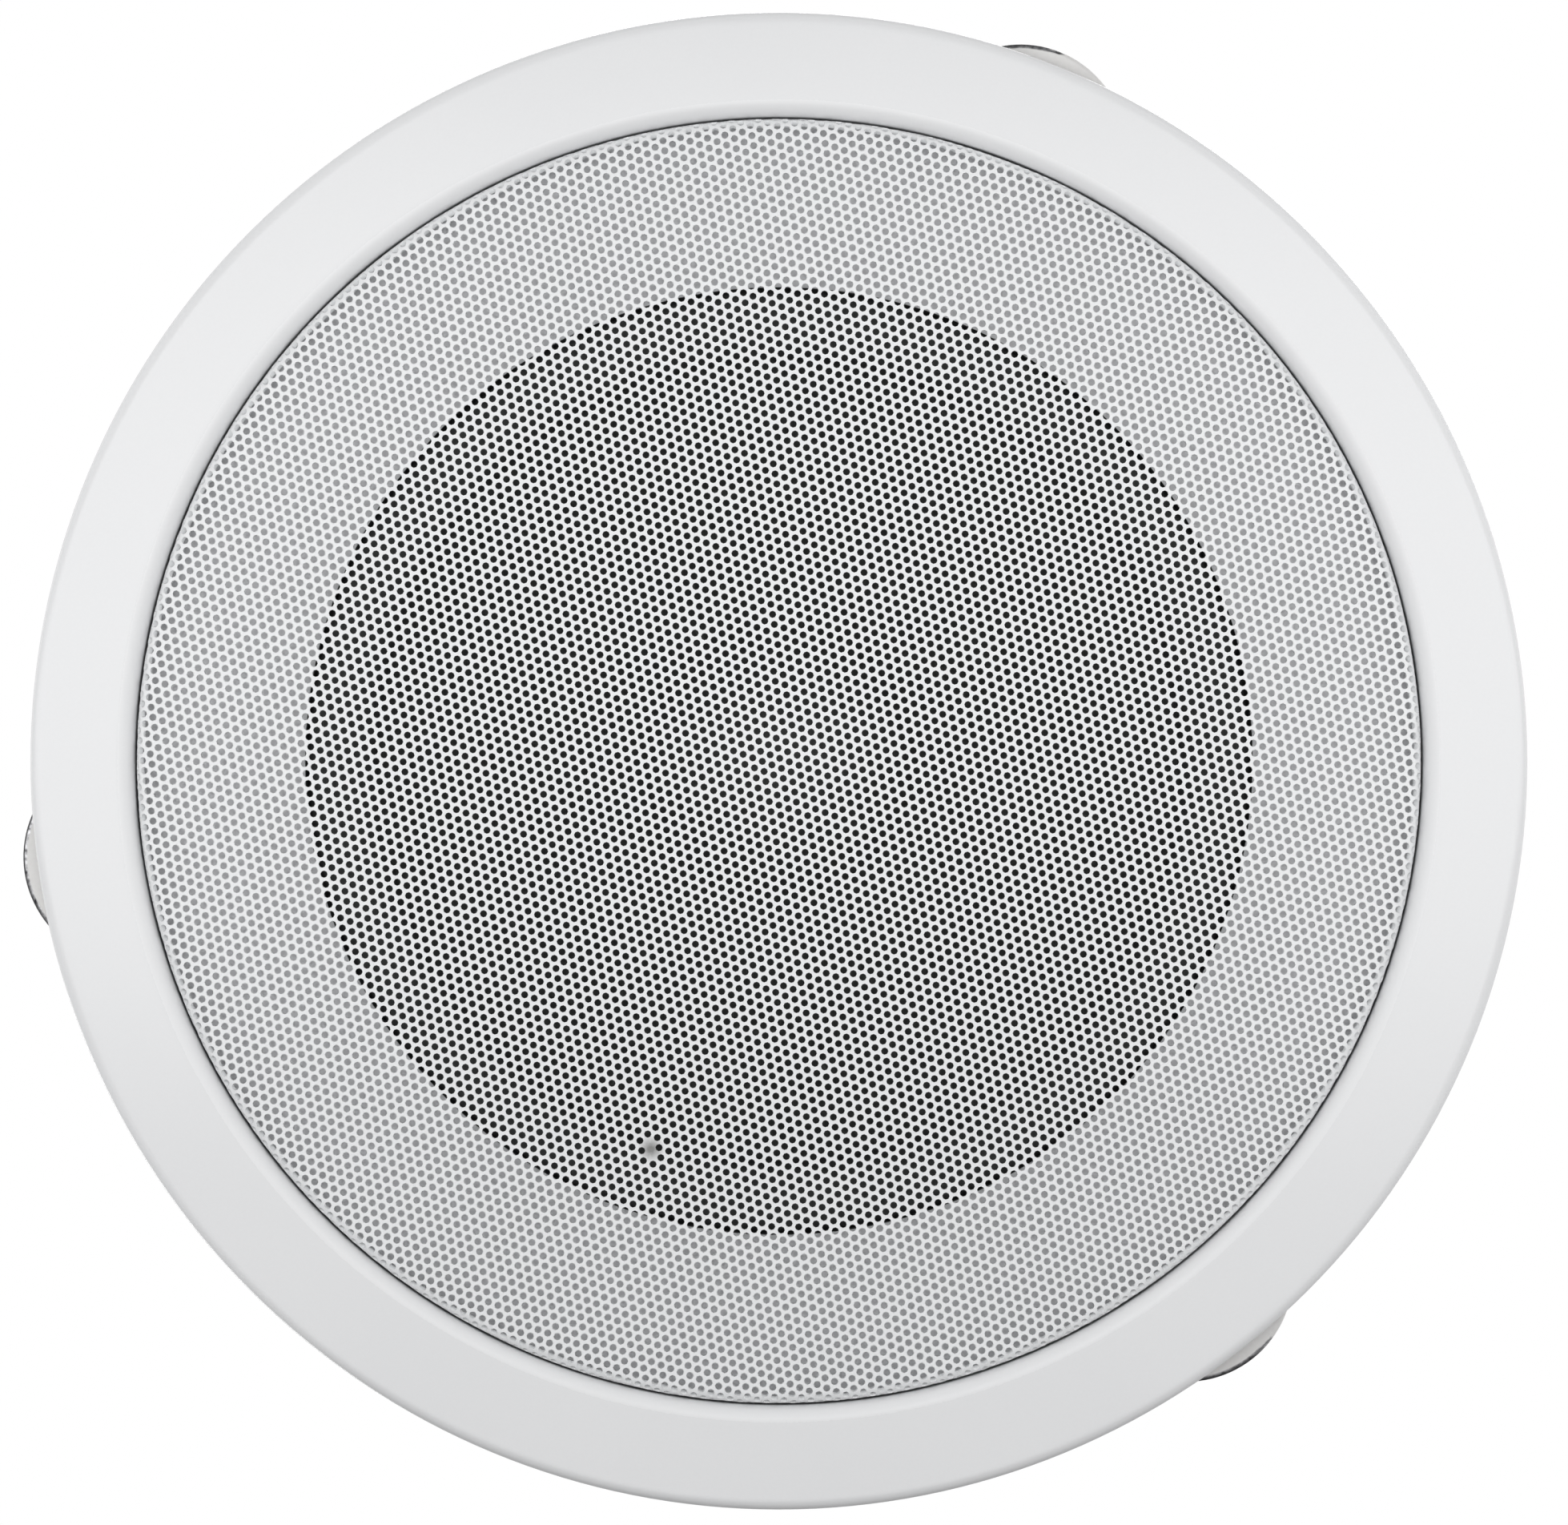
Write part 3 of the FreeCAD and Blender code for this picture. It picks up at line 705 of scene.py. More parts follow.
def cone_line():
    """The cone's front, straight from the edge to the neck with a few shallow pressed rings."""
    line = []
    first, last = CONE_RIDGED
    across = Vector((cone_neck.y - cone_edge.y, cone_edge.x - cone_neck.x)).normalized()
    for k in range(CONE_STEPS + 1):
        share = k / CONE_STEPS
        ridge = 0.0
        if first < share < last:
            ridge = max(math.sin(math.tau * CONE_RIDGES * (share - first) / (last - first)), 0.0)
        line.append(cone_edge.lerp(cone_neck, share) + across * CONE_RIDGE_HEIGHT * ridge)
    return line


def spot_at(tree, x, y, z=0.0):
    """A place made of its X, Y and Z."""
    return result(tree, "ShaderNodeCombineXYZ", {"X": x, "Y": y, "Z": z})


def fibrous(finish, colour, stretch, share):
    """Scatters pale pulp fibres through a finish, drawn out along the radius."""
    tree = finish.tree
    across = reckon(tree, "MULTIPLY", away_from(finish), FIBRES_PER_METRE)
    flat = split(tree, finish.place)
    angle = reckon(tree, "ARCTAN2", flat["Y"], flat["X"])
    strands = noise(tree, spot_at(tree, across, reckon(tree, "MULTIPLY", angle, stretch)), 1.0, 3.0)
    tinted(finish, ranged(tree, strands, 0.52, 0.75, 0.0, share), colour)


cone_paper = finish_of("cone_paper", (0.06, 0.062, 0.059), (0.032, 0.033, 0.031), 0.55, 0.75, 1600, 0.05)
fibrous(cone_paper, (0.125, 0.127, 0.12), 60, 0.5)
cone = spun("paper_cone", walled(cone_line(), -CONE_SHEET))
fitted(cone, "cone", "diaphragm", cone_paper)

cap_r = cap_high.x
cap_rise = cap_high.z - cap_low.z
dome_r = (cap_r**2 + cap_rise**2) / (2 * cap_rise)
cap_line = []
for k in range(ARC_STEPS + 1):
    lean = math.asin(cap_r / dome_r) * (1 - k / ARC_STEPS)
    cap_line.append(Vector((dome_r * math.sin(lean), cap_low.z + dome_r * (1 - math.cos(lean)))))
cap_line.append(Vector((0, cap_low.z)))
cap_paper = finish_of("cap_paper", (0.076, 0.078, 0.075), (0.044, 0.045, 0.043), 0.4, 0.6, 1600, 0.04)
fibrous(cap_paper, (0.14, 0.142, 0.135), 40, 0.4)
cap_outline = [(r, min(z, cap_high.z)) for r, z in walled(cap_line, -DUST_CAP_SHEET)]
fitted(spun("domed_cap", cap_outline), "dust_cap", "diaphragm", cap_paper)

roll_middle = (ROLL_IN_R + ROLL_OUT_R) / 2
roll_half = (ROLL_OUT_R - ROLL_IN_R) / 2
roll_rise = rim_z - SURROUND_SHEET - surround_low.z
roll_line = []
for k in range(ARC_STEPS + 1):
    lean = math.pi * k / ARC_STEPS
    rise = roll_rise * math.sin(lean) ** ROLL_FULLNESS
    roll_line.append(Vector((roll_middle - roll_half * math.cos(lean), rim_z - rise)))
roll_line.append(Vector((surround_high.x, rim_z)))
surround_foam = finish_of(
    "surround_foam", (0.078, 0.08, 0.078), (0.05, 0.052, 0.05), 0.6, 0.8, 2600, 0.05
)
surround = bends_between(spun("soft_roll", walled(roll_line, -SURROUND_SHEET)), ROLL_IN_R, ROLL_OUT_R)
fitted(surround, "surround", None, surround_foam)

# Magnet circuit: a top plate and a yoke turned from zinc plated steel, with a ground ferrite ring
# glued between them and the pole standing in the coil.
PLATE_CHAMFER = 0.6
PLATE_BORE_R = 13.85
FERRITE_CHAMFER = 0.8
FERRITE_BORE_R = 17.85
POLE_R = 11.85
TURNED_SIDES = 160
TURNED_SHARP = 30


def broken_edges(r, low, high, chamfer):
    """The outer edge of a turned piece, with its corners cut off."""
    return [(r - chamfer, low), (r, low + chamfer), (r, high - chamfer), (r - chamfer, high)]


def turned_ring(name, node, finish, bore_r, chamfer):
    """A plain turned ring in its solid's place."""
    low, high = corners_mm(node)
    outline = [(bore_r, low.z)] + broken_edges(high.x, low.z, high.z, chamfer) + [(bore_r, high.z)]
    fitted(spun(name, outline, TURNED_SIDES, TURNED_SHARP), node, "root", finish)


motor_steel = finish_of(
    "motor_steel", (0.66, 0.65, 0.6), (0.5, 0.49, 0.44), 0.28, 0.45, 1200, 0.004, drifts=90, metallic=1.0
)
banded(motor_steel, away_from(motor_steel), 2200, 0.006, (0.36, 0.35, 0.31), 0.35)
ferrite = finish_of(
    "ferrite", (0.085, 0.085, 0.088), (0.04, 0.04, 0.043), 0.45, 0.7, 2200, 0.02, drifts=120
)
specked(ferrite, 500, 0.05)
turned_ring("front_plate", "top_plate", motor_steel, PLATE_BORE_R, PLATE_CHAMFER)
turned_ring("ferrite_ring", "magnet", ferrite, FERRITE_BORE_R, FERRITE_CHAMFER)
yoke_low, yoke_high = corners_mm("yoke")
yoke_front = corners_mm("magnet")[1].z
pole_end = [(0, yoke_low.z), (POLE_R - PLATE_CHAMFER, yoke_low.z), (POLE_R, yoke_low.z + PLATE_CHAMFER)]
disc_edge = broken_edges(yoke_high.x, yoke_front, yoke_high.z, PLATE_CHAMFER)
yoke_outline = pole_end + [(POLE_R, yoke_front)] + disc_edge + [(0, yoke_high.z)]
yoke = spun("back_plate", yoke_outline, TURNED_SIDES, TURNED_SHARP)
fitted(yoke, "yoke", "root", motor_steel)

# Terminals: a strip of brown paper laminate on the basket's rim with two tinned push-on blades,
# and two braided copper leads, soldered to the blades and glued to the cone's back.
BOARD_EDGE = 0.3
TAG_SHEET = 0.8
TAG_WIDTH = 4.8
TAG_BEND = 0.5
TAG_EDGE = 0.15
RIVET = [(0, 0), (1.3, 0), (1.2, 0.3), (0.8, 0.55), (0, 0.65)]
RIVET_INSET = 1.6
SOLDER = [(0, -0.35), (1.5, -0.1), (1.35, 0.35), (0.75, 0.75), (0, 0.9)]
SOLDER_OVERLAP = 0.1
DOT_SIDES = 24
WIRE_SIDES = 12
LEAD_WIRE = 1.2
LEAD_Y = 5.0
LEAD_TAG_Z = 13.6
LEAD_CONE_Z = 16.05
LEAD_CONE_INSET = 0.3
LEAD_HUMP_X = (62.0, 54.0)
LEAD_RISE_X = 61.0
BRAID_LAY = 2200.0
BRAID_STRANDS = 8.0


def extruded(name, outline, low_y, high_y, edge):
    """A flat outline of (x, z) given a width along Y, with its edges eased."""
    count = len(outline)
    points = [Vector((x, y, z)) * MM for y in (low_y, high_y) for x, z in outline]
    faces = [list(range(count)), list(range(2 * count - 1, count - 1, -1))]
    for k in range(count):
        after = (k + 1) % count
        faces.append([k, after, count + after, count + k])
    return eased(shell(name, points, faces), edge)


def joined(name, *pieces):
    """Several meshes as one piece."""
    points = []
    faces = []
    for made in pieces:
        start = len(points)
        points += [vertex.co.copy() for vertex in made.data.vertices]
        faces += [[start + v for v in face.vertices] for face in made.data.polygons]
        bpy.data.objects.remove(made)
    return shell(name, points, faces)


board_low, board_high = corners_mm("terminal_board")
tag_low, tag_high = corners_mm("terminal_tags")
board_outline = oblong(board_low.x, board_high.x, board_low.z, board_high.z)
board_laminate = finish_of(
    "board_laminate", (0.3, 0.14, 0.06), (0.19, 0.08, 0.03), 0.35, 0.5, 1300, 0.01
)
board = extruded("laminate_board", board_outline, board_low.y, board_high.y, BOARD_EDGE)
fitted(board, "terminal_board", "root", board_laminate)
tag_metal = finish_of(
    "tag_metal", (0.8, 0.79, 0.74), (0.62, 0.6, 0.55), 0.25, 0.42, 1800, 0.004, metallic=1.0
)
tag_path = [(tag_low.x, tag_high.z), (tag_low.x, tag_low.z), (tag_high.x, tag_low.z)]
tag_outline = walled(bent(tag_path, [TAG_BEND + TAG_SHEET], 5), TAG_SHEET)
blades = []
for middle in (-LEAD_Y, LEAD_Y):
    blade = extruded("blade", tag_outline, middle - TAG_WIDTH / 2, middle + TAG_WIDTH / 2, TAG_EDGE)
    rivet = spun("rivet", RIVET, DOT_SIDES)
    blades += [blade, set_at(rivet, tag_high.x - RIVET_INSET, middle, tag_low.z + TAG_SHEET)]
fitted(joined("push_on_blades", *blades), "terminal_tags", "root", tag_metal)


def wire_tree():
    """A curve drawn out as round wire, with how far along and around it each point lies."""
    inputs = {"Line": "Geometry", "Wire": "Float", "Sides": "Int", "Finish": "Material"}
    tree, given, out = new_group("drawn_wire", "GeometryNodeTree", inputs, {"Strand": "Geometry"})
    spot = tree.nodes.new("GeometryNodeSplineParameter").outputs
    half = reckon(tree, "MULTIPLY", given["Wire"], 0.5)
    circle = result(tree, "GeometryNodeCurvePrimitiveCircle", {"Resolution": given["Sides"], "Radius": half})
    marked = []
    for line, mark, value in ((given["Line"], "along", "Length"), (circle, "around", "Factor")):
        store = {"Geometry": line, "Name": mark, "Value": spot[value]}
        marked.append(result(tree, "GeometryNodeStoreNamedAttribute", store))
    drawn = {"Curve": marked[0], "Profile Curve": marked[1], "Fill Caps": True}
    tube = result(tree, "GeometryNodeCurveToMesh", drawn)
    return dressed(tree, tube, given["Finish"], out["Strand"])


drawn_wire = wire_tree()


def strand(name, points, kind, wire, finish):
    """Round wire along points in millimetres, on a smooth curve or straight from each to the next."""
    data = bpy.data.curves.new(name, "CURVE")
    data.dimensions = "3D"
    spline = data.splines.new(kind)
    spline.points.add(len(points) - 1)
    for spot, point in zip(spline.points, points):
        spot.co = (*(point * MM), 1)
    if kind == "NURBS":
        spline.order_u = 3
        spline.use_endpoint_u = True
        spline.resolution_u = 8
    line = in_scene(name, data)
    return grown(line, drawn_wire, wire=wire * MM, sides=WIRE_SIDES, finish=finish.material)


def mark_on(finish, name):
    """A value that is stored on a piece's points, for a material."""
    return wired(finish.tree, "ShaderNodeAttribute", attribute_name=name).outputs["Fac"]


def turned(made, angle, axis="Z"):
    """Turns a piece's mesh about an axis through the origin."""
    made.data.transform(Matrix.Rotation(angle, 4, axis))
    return made


lead_braid = finish_of(
    "lead_braid", (0.75, 0.4, 0.22), (0.5, 0.22, 0.1), 0.3, 0.45, 3000, 0.004, metallic=1.0
)
lay = reckon(lead_braid.tree, "MULTIPLY", mark_on(lead_braid, "along"), BRAID_LAY)
around = mark_on(lead_braid, "around")
crossed = []
for strands in (BRAID_STRANDS, -BRAID_STRANDS):
    crossed.append(reckon(lead_braid.tree, "MULTIPLY_ADD", around, strands, lay))
woven(lead_braid, *crossed, 0.1, (0.12, 0.05, 0.02))
solder = finish_of("solder", (0.78, 0.78, 0.76), (0.6, 0.6, 0.58), 0.18, 0.32, 1500, 0.01, metallic=1.0)
for number, y in (("1", -LEAD_Y), ("2", LEAD_Y)):
    lead_low, lead_high = corners_mm("lead_" + number)
    tag_end = Vector((tag_low.x, y, LEAD_TAG_Z))
    cone_end = Vector((lead_low.x + LEAD_CONE_INSET, y, LEAD_CONE_Z))
    rise, hump_start, hump_end = (
        Vector((x, y, lead_high.z - LEAD_WIRE / 2)) for x in (LEAD_RISE_X, *LEAD_HUMP_X)
    )
    route = [tag_end, tag_end.lerp(rise, 0.55), hump_start, hump_end, cone_end.lerp(hump_end, 0.5), cone_end]
    lead = strand("braided_lead_" + number, route, "NURBS", LEAD_WIRE, lead_braid)
    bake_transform(lead)
    fitted(lead, "lead_" + number, None)
    blob = turned(spun("solder_" + number, SOLDER, DOT_SIDES), -math.pi / 2, "Y")
    blob.data.materials.append(solder.material)
    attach(set_at(blob, tag_low.x + SOLDER_OVERLAP, y, tag_end.z), "root")

# Washers and nuts: zinc plated M4 hardware that draws the driver's rim down on its gasket.
# Stamped washers, and cold-formed nuts with their corners chamfered.
WASHER_R = 4.5
WASHER_BORE_R = 2.3
WASHER_EDGE = 0.2
NUT_FLATS = 7.0
NUT_BORE_R = 2.0
NUT_CHAMFER_R = 3.4
NUT_CHAMFER_SLOPE = math.tan(math.radians(30))
HARDWARE_SIDES = 48
HARDWARE_SHARP = 25
washer_height = height_mm("driver_washers")
nut_height = height_mm("driver_nuts")
washer_outline = [
    (WASHER_BORE_R, 0), (WASHER_R, 0), (WASHER_R, washer_height - WASHER_EDGE),
    (WASHER_R - WASHER_EDGE, washer_height), (WASHER_BORE_R, washer_height),
]


def nut_outline(angle):
    """A nut's section at an angle: flats outside, with a cone cut from both ends."""
    sector = (angle + math.pi / 6) % (math.pi / 3) - math.pi / 6
    side = NUT_FLATS / 2 / math.cos(sector)
    cut = (side - NUT_CHAMFER_R) * NUT_CHAMFER_SLOPE
    return [
        (NUT_BORE_R, 0), (NUT_CHAMFER_R, 0), (side, cut), (side, nut_height - cut),
        (NUT_CHAMFER_R, nut_height), (NUT_BORE_R, nut_height),
    ]


set_of("driver_washers", "flat_washers", washer_outline, HARDWARE_SIDES, HARDWARE_SHARP)
set_of("driver_nuts", "hex_nuts", nut_outline, HARDWARE_SIDES, HARDWARE_SHARP)

# Spring clips: three sets of a folded bracket, a riveted pin, a bent arm and a torsion spring. The
# arms press the ceiling against the flange. Galvanised steel strip with bare cut edges, which have
# a painted dark reflection and painted glints, and are painted light where they face one side.
ARM_SHEET = 1.2
ARM_HALF_HUB = 10.0
ARM_HALF_FOOT = 13.0
ARM_KNEE = 8.0
ARM_FLARE = 4.0
ARM_BENDS = (1.4, 0.0, 2.2)
ARM_EDGE = 0.5
ARM_BARE_FROM = 0.94
ARM_ROW = 0.67
BARE_REACH = 1.1
# Painted reflection and painted glints for the clips' cut edges.
EDGE_DARK_REFLECTION = (0.05, 0.05, 0.054, 1)
EDGE_GLINT_COLOUR = (0.5, 0.5, 0.51, 1)
LIT_EDGE_SIDE = math.radians(-6)
LIT_EDGE_FROM = 0.45
LIT_EDGE_WHOLE = 0.64
FOOT_LENGTH = 9.5
FOOT_END_R = 15.7
FOOT_GAP = 0.2
FOOT_STEPS = 32
HUB_BORE_R = 1.58
HUB_SLOT_HALF = 3.4
HUB_SLOT_REACH = 4.73
CURL_LIP = 400
CURL_FROM = 372
CURL_TO = 90
CURL_STEPS = 23
PIN_R = 1.5
PIN_HEAD = [(2.5, 0.0), (2.5, 0.5), (2.0, 0.85), (1.0, 1.0), (0.0, 1.0)]
PIN_SIDES = 32
EAR_R = 4.0
EAR_INSIDE = 10.3
EAR_STEPS = 16
BRACKET_SHEET = 1.2
BRACKET_EDGE = 0.2
SPRING_WIRE = 1.2
SPRING_TURNS = 3.25
SPRING_PITCH = 1.21
SPRING_LEG = 7.8
SPRING_PLAY = 0.15
SPRING_TURN_STEPS = 28
hinges = [joint for joint in frame["joints"] if joint["type"] == "hinge"]
pins = {joint["child"]: Vector(joint["pos_m"]) / MM for joint in hinges}
pin_r = pins["clip_1"].xy.length
pin_z = pins["clip_1"].z
tip_r = -corners_mm("clip_arm_2")[0].x
knee_r = pin_r + ARM_KNEE
flare_r = knee_r + ARM_FLARE
foot_r = tip_r - FOOT_LENGTH
foot_centre = tip_r - FOOT_END_R
round_r = foot_centre + math.sqrt(FOOT_END_R**2 - ARM_HALF_FOOT**2)
strip_z = pin_z + HUB_BORE_R
ear_outside = EAR_INSIDE + BRACKET_SHEET


def arm_half(r):
    """Half the arm's width at a distance from the axis."""
    share = min(max((r - knee_r) / ARM_FLARE, 0.0), 1.0)
    return ARM_HALF_HUB + (ARM_HALF_FOOT - ARM_HALF_HUB) * share


def round_pin(radius, lean):
    """A point round the clip's pin, as (distance from the axis, height)."""
    return Vector((pin_r + radius * math.cos(lean), pin_z + radius * math.sin(lean)))


def arm_skin(name):
    """The arm's lower skin: a curl round the pin, a slot for the spring, a knee, and a round foot."""
    curl = [CURL_LIP] + [CURL_FROM - (CURL_FROM - CURL_TO) * k / CURL_STEPS for k in range(CURL_STEPS + 1)]
    line = [round_pin(HUB_BORE_R, math.radians(degrees)) for degrees in curl]
    slot_end = len(line)
    slot_r = pin_r + math.sqrt(HUB_SLOT_REACH**2 - HUB_BORE_R**2)
    flare_z = strip_z + (FOOT_GAP - strip_z) * (flare_r - knee_r) / (foot_r - knee_r)
    strip = [(slot_r, strip_z), (knee_r, strip_z), (flare_r, flare_z), (foot_r, FOOT_GAP), (tip_r, FOOT_GAP)]
    line += bent(strip, ARM_BENDS, 6)[:-1]
    half_row = [ARM_BARE_FROM, ARM_ROW, HUB_SLOT_HALF / ARM_HALF_HUB]
    row = [-1.0] + [-share for share in half_row] + [0.0] + half_row[::-1] + [1.0]
    points = [Vector((r, share * arm_half(r), z)) * MM for r, z in line for share in row]
    count = len(row)
    slot = (count // 2 - 1, count // 2)
    faces = []
    for i in range(len(line) - 1):
        for k in range(count - 1):
            if i >= slot_end or k not in slot:
                here = i * count + k
                faces.append([here, here + 1, here + count + 1, here + count])
    last = (len(line) - 1) * count
    outer = len(points)
    inner = outer + FOOT_STEPS + 1
    inset = ARM_HALF_FOOT * (1 - ARM_BARE_FROM)
    for radius, half in ((FOOT_END_R, ARM_HALF_FOOT), (FOOT_END_R - inset, ARM_HALF_FOOT - inset)):
        for k in range(FOOT_STEPS + 1):
            lean = math.asin(half / radius) * (1 - 2 * k / FOOT_STEPS)
            end = (foot_centre + radius * math.cos(lean), radius * math.sin(lean), FOOT_GAP)
            points.append(Vector(end) * MM)
    faces += [[outer + k, outer + k + 1, inner + k + 1, inner + k] for k in range(FOOT_STEPS)]
    faces.append([last + count - 2, last + count - 1, outer, inner])
    faces.append([last, last + 1, inner + FOOT_STEPS, outer + FOOT_STEPS])
    faces.append([*range(last + 1, last + count - 1), *range(inner, inner + FOOT_STEPS + 1)])
    return shell(name, points, faces)


def cut_edge_marks(made, angle):
    """Marks how near each point is to the strip's cut edge, apart from the edges that face one fixed side,
    which are painted light.
    """
    marks = made.data.attributes.new("bare_and_painted_light", "FLOAT", "POINT")
    for vertex in made.data.vertices:
        r, y, z = vertex.co / MM
        inside = arm_half(r) - abs(y)
        facing = math.copysign(math.pi / 2, y)
        if r > round_r:
            inside = FOOT_END_R - math.hypot(r - foot_centre, y)
            facing = math.atan2(y, r - foot_centre)
        # Painted light: edges that face one fixed direction get no dark band, as if they caught a light from
        # that side.
        lit_share = (math.cos(angle + facing - LIT_EDGE_SIDE) - LIT_EDGE_FROM) / (LIT_EDGE_WHOLE - LIT_EDGE_FROM)
        lit_share = min(max(lit_share, 0.0), 1.0)
        marks.data[vertex.index].value = max(0.0, 1 - inside / (BARE_REACH * ARM_EDGE)) * (1 - lit_share)
    return made


def bracket(name):
    """A base on the pan's floor and two ears round the pin, as a bracket folded from one strip has them, made
    as three blocks joined in one piece.
    """
    low, high = corners_mm("clip_bracket_2")
    inner, outer = -high.x, -low.x
    base = oblong(inner, outer, low.z, low.z + BRACKET_SHEET)
    arch = [tuple(round_pin(EAR_R, math.pi * k / EAR_STEPS)) for k in range(EAR_STEPS + 1)]
    ear = [(outer, low.z)] + arch + [(inner, low.z)]
    return joined(
        name,
        extruded("base", base, -ear_outside + BRACKET_EDGE, ear_outside - BRACKET_EDGE, BRACKET_EDGE),
        extruded("left", ear, -ear_outside, -EAR_INSIDE, BRACKET_EDGE),
        extruded("right", ear, EAR_INSIDE, ear_outside, BRACKET_EDGE),
    )


def pin(name):
    """The pin: a shank with a formed head at one end and a riveted one at the other."""
    half = [(PIN_R, ear_outside)] + [(r, ear_outside + h) for r, h in PIN_HEAD]
    made = spun(name, [(r, -z) for r, z in reversed(half)] + half, PIN_SIDES)
    return set_at(turned(made, -math.pi / 2, "X"), pin_r, 0, pin_z)


def spring_line():
    """The spring's wire: up from the base, round the pin, and out along the arm."""
    mean = HUB_BORE_R + ARM_SHEET + SPRING_PLAY + SPRING_WIRE / 2
    rise = SPRING_TURNS * SPRING_PITCH / 2
    line = [Vector((pin_r - mean, -rise, floor_back_z + BRACKET_SHEET + SPRING_WIRE / 2))]
    steps = int(SPRING_TURNS * SPRING_TURN_STEPS)
    for k in range(steps + 1):
        r, z = round_pin(mean, math.pi - math.tau * SPRING_TURNS * k / steps)
        line.append(Vector((r, -rise + 2 * rise * k / steps, z)))
    return line + [Vector((pin_r + SPRING_LEG, rise, pin_z + mean))]


clip_steel = finish_of(
    "clip_steel", (0.82, 0.812, 0.802), (0.74, 0.732, 0.72), 0.5, 0.62, 1400, 0.006, drifts=120
)
clip_tree = clip_steel.tree
# Painted reflection: the cut edges get a dark colour that stands in for the dark surroundings they reflect,
# with painted glints in their inner half; there the strip is also bare metal.
edge_near = mark_on(clip_steel, "bare_and_painted_light")
bare_and_painted_light = ranged(clip_tree, edge_near, 0.02, 0.09)
glint_scatter = ranged(clip_tree, noise(clip_tree, clip_steel.place, 1100.0, 3.0), 0.3, 0.6)
glint = reckon(clip_tree, "MULTIPLY", ranged(clip_tree, edge_near, 0.75, 0.4), glint_scatter)
tinted(clip_steel, bare_and_painted_light, mixed(clip_tree, glint, EDGE_DARK_REFLECTION, EDGE_GLINT_COLOUR))
zinc_gloss = under(clip_steel, "Roughness")
for look, zinc_look, bare_look in (("Metallic", 0.2, 1.0), ("Roughness", zinc_gloss, 0.28)):
    clip_tree.links.new(ranged(clip_tree, bare_and_painted_light, 0.0, 1.0, zinc_look, bare_look), clip_steel.body[look])
spring_steel = finish_of(
    "spring_steel", (0.5, 0.5, 0.52), (0.32, 0.32, 0.34), 0.25, 0.4, 2400, 0.004, metallic=1.0
)
for body_name, place in pins.items():
    number = body_name[-1]
    angle = math.atan2(place.y, place.x)
    arm = cut_edge_marks(thickened(arm_skin("bent_arm_" + number), ARM_SHEET, ARM_EDGE), angle)
    fitted(turned(arm, angle), "clip_arm_" + number, body_name, clip_steel)
    holder = turned(bracket("ear_bracket_" + number), angle)
    fitted(holder, "clip_bracket_" + number, "root", clip_steel)
    axle = turned(pin("riveted_pin_" + number), angle)
    fitted(axle, "clip_pin_" + number, "root", fastener_steel)
    coil = strand("torsion_spring_" + number, spring_line(), "POLY", SPRING_WIRE, spring_steel)
    turned(coil, angle)
    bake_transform(coil)
    fitted(coil, "clip_spring_" + number, None)

# Grille: a dish pressed from 0.8 mm perforated steel, pushed into the recess last. Round 1 mm holes
# stand in rows 1.5 mm apart and run over its rolled rim. Matt white powder coat.
HOLE_PITCH = 1.5
HOLE_ACROSS = 1.03
HOLE_SIDES = 8
HOLE_EVEN = math.sqrt(math.pi / (4 * math.sin(math.tau / HOLE_SIDES)))
HOLE_ROW_ANGLE = math.radians(28.5)
HOLE_ORIGIN = (0.18, -0.37)
HOLE_CLOGGED = 0.55
CELLS_ACROSS = 221
CELL_SEAM = 0.01
GRILLE_SHEET = 0.8
GRILLE_BEND = 1.4
GRILLE_PARTS = 4
SMUDGE = (0.22, 0.22, 0.215)
SMUDGE_AT = (-26.9, 53.6)
SMUDGE_INNER_R = 0.4
SMUDGE_OUTER_R = 2.0
SMUDGE_SHARE = 0.95
grille_low, grille_high = corners_mm("grille")


def brought_together(tree, *parts):
    """Several geometries as one."""
    join = tree.nodes.new("GeometryNodeJoinGeometry")
    for part in parts:
        tree.links.new(part, join.inputs[0])
    return join.outputs[0]


def welded(tree, parts):
    """A mesh with the seams between its parts closed."""
    return result(tree, "GeometryNodeMergeByDistance", {"Geometry": parts, "Distance": CELL_SEAM * MM})


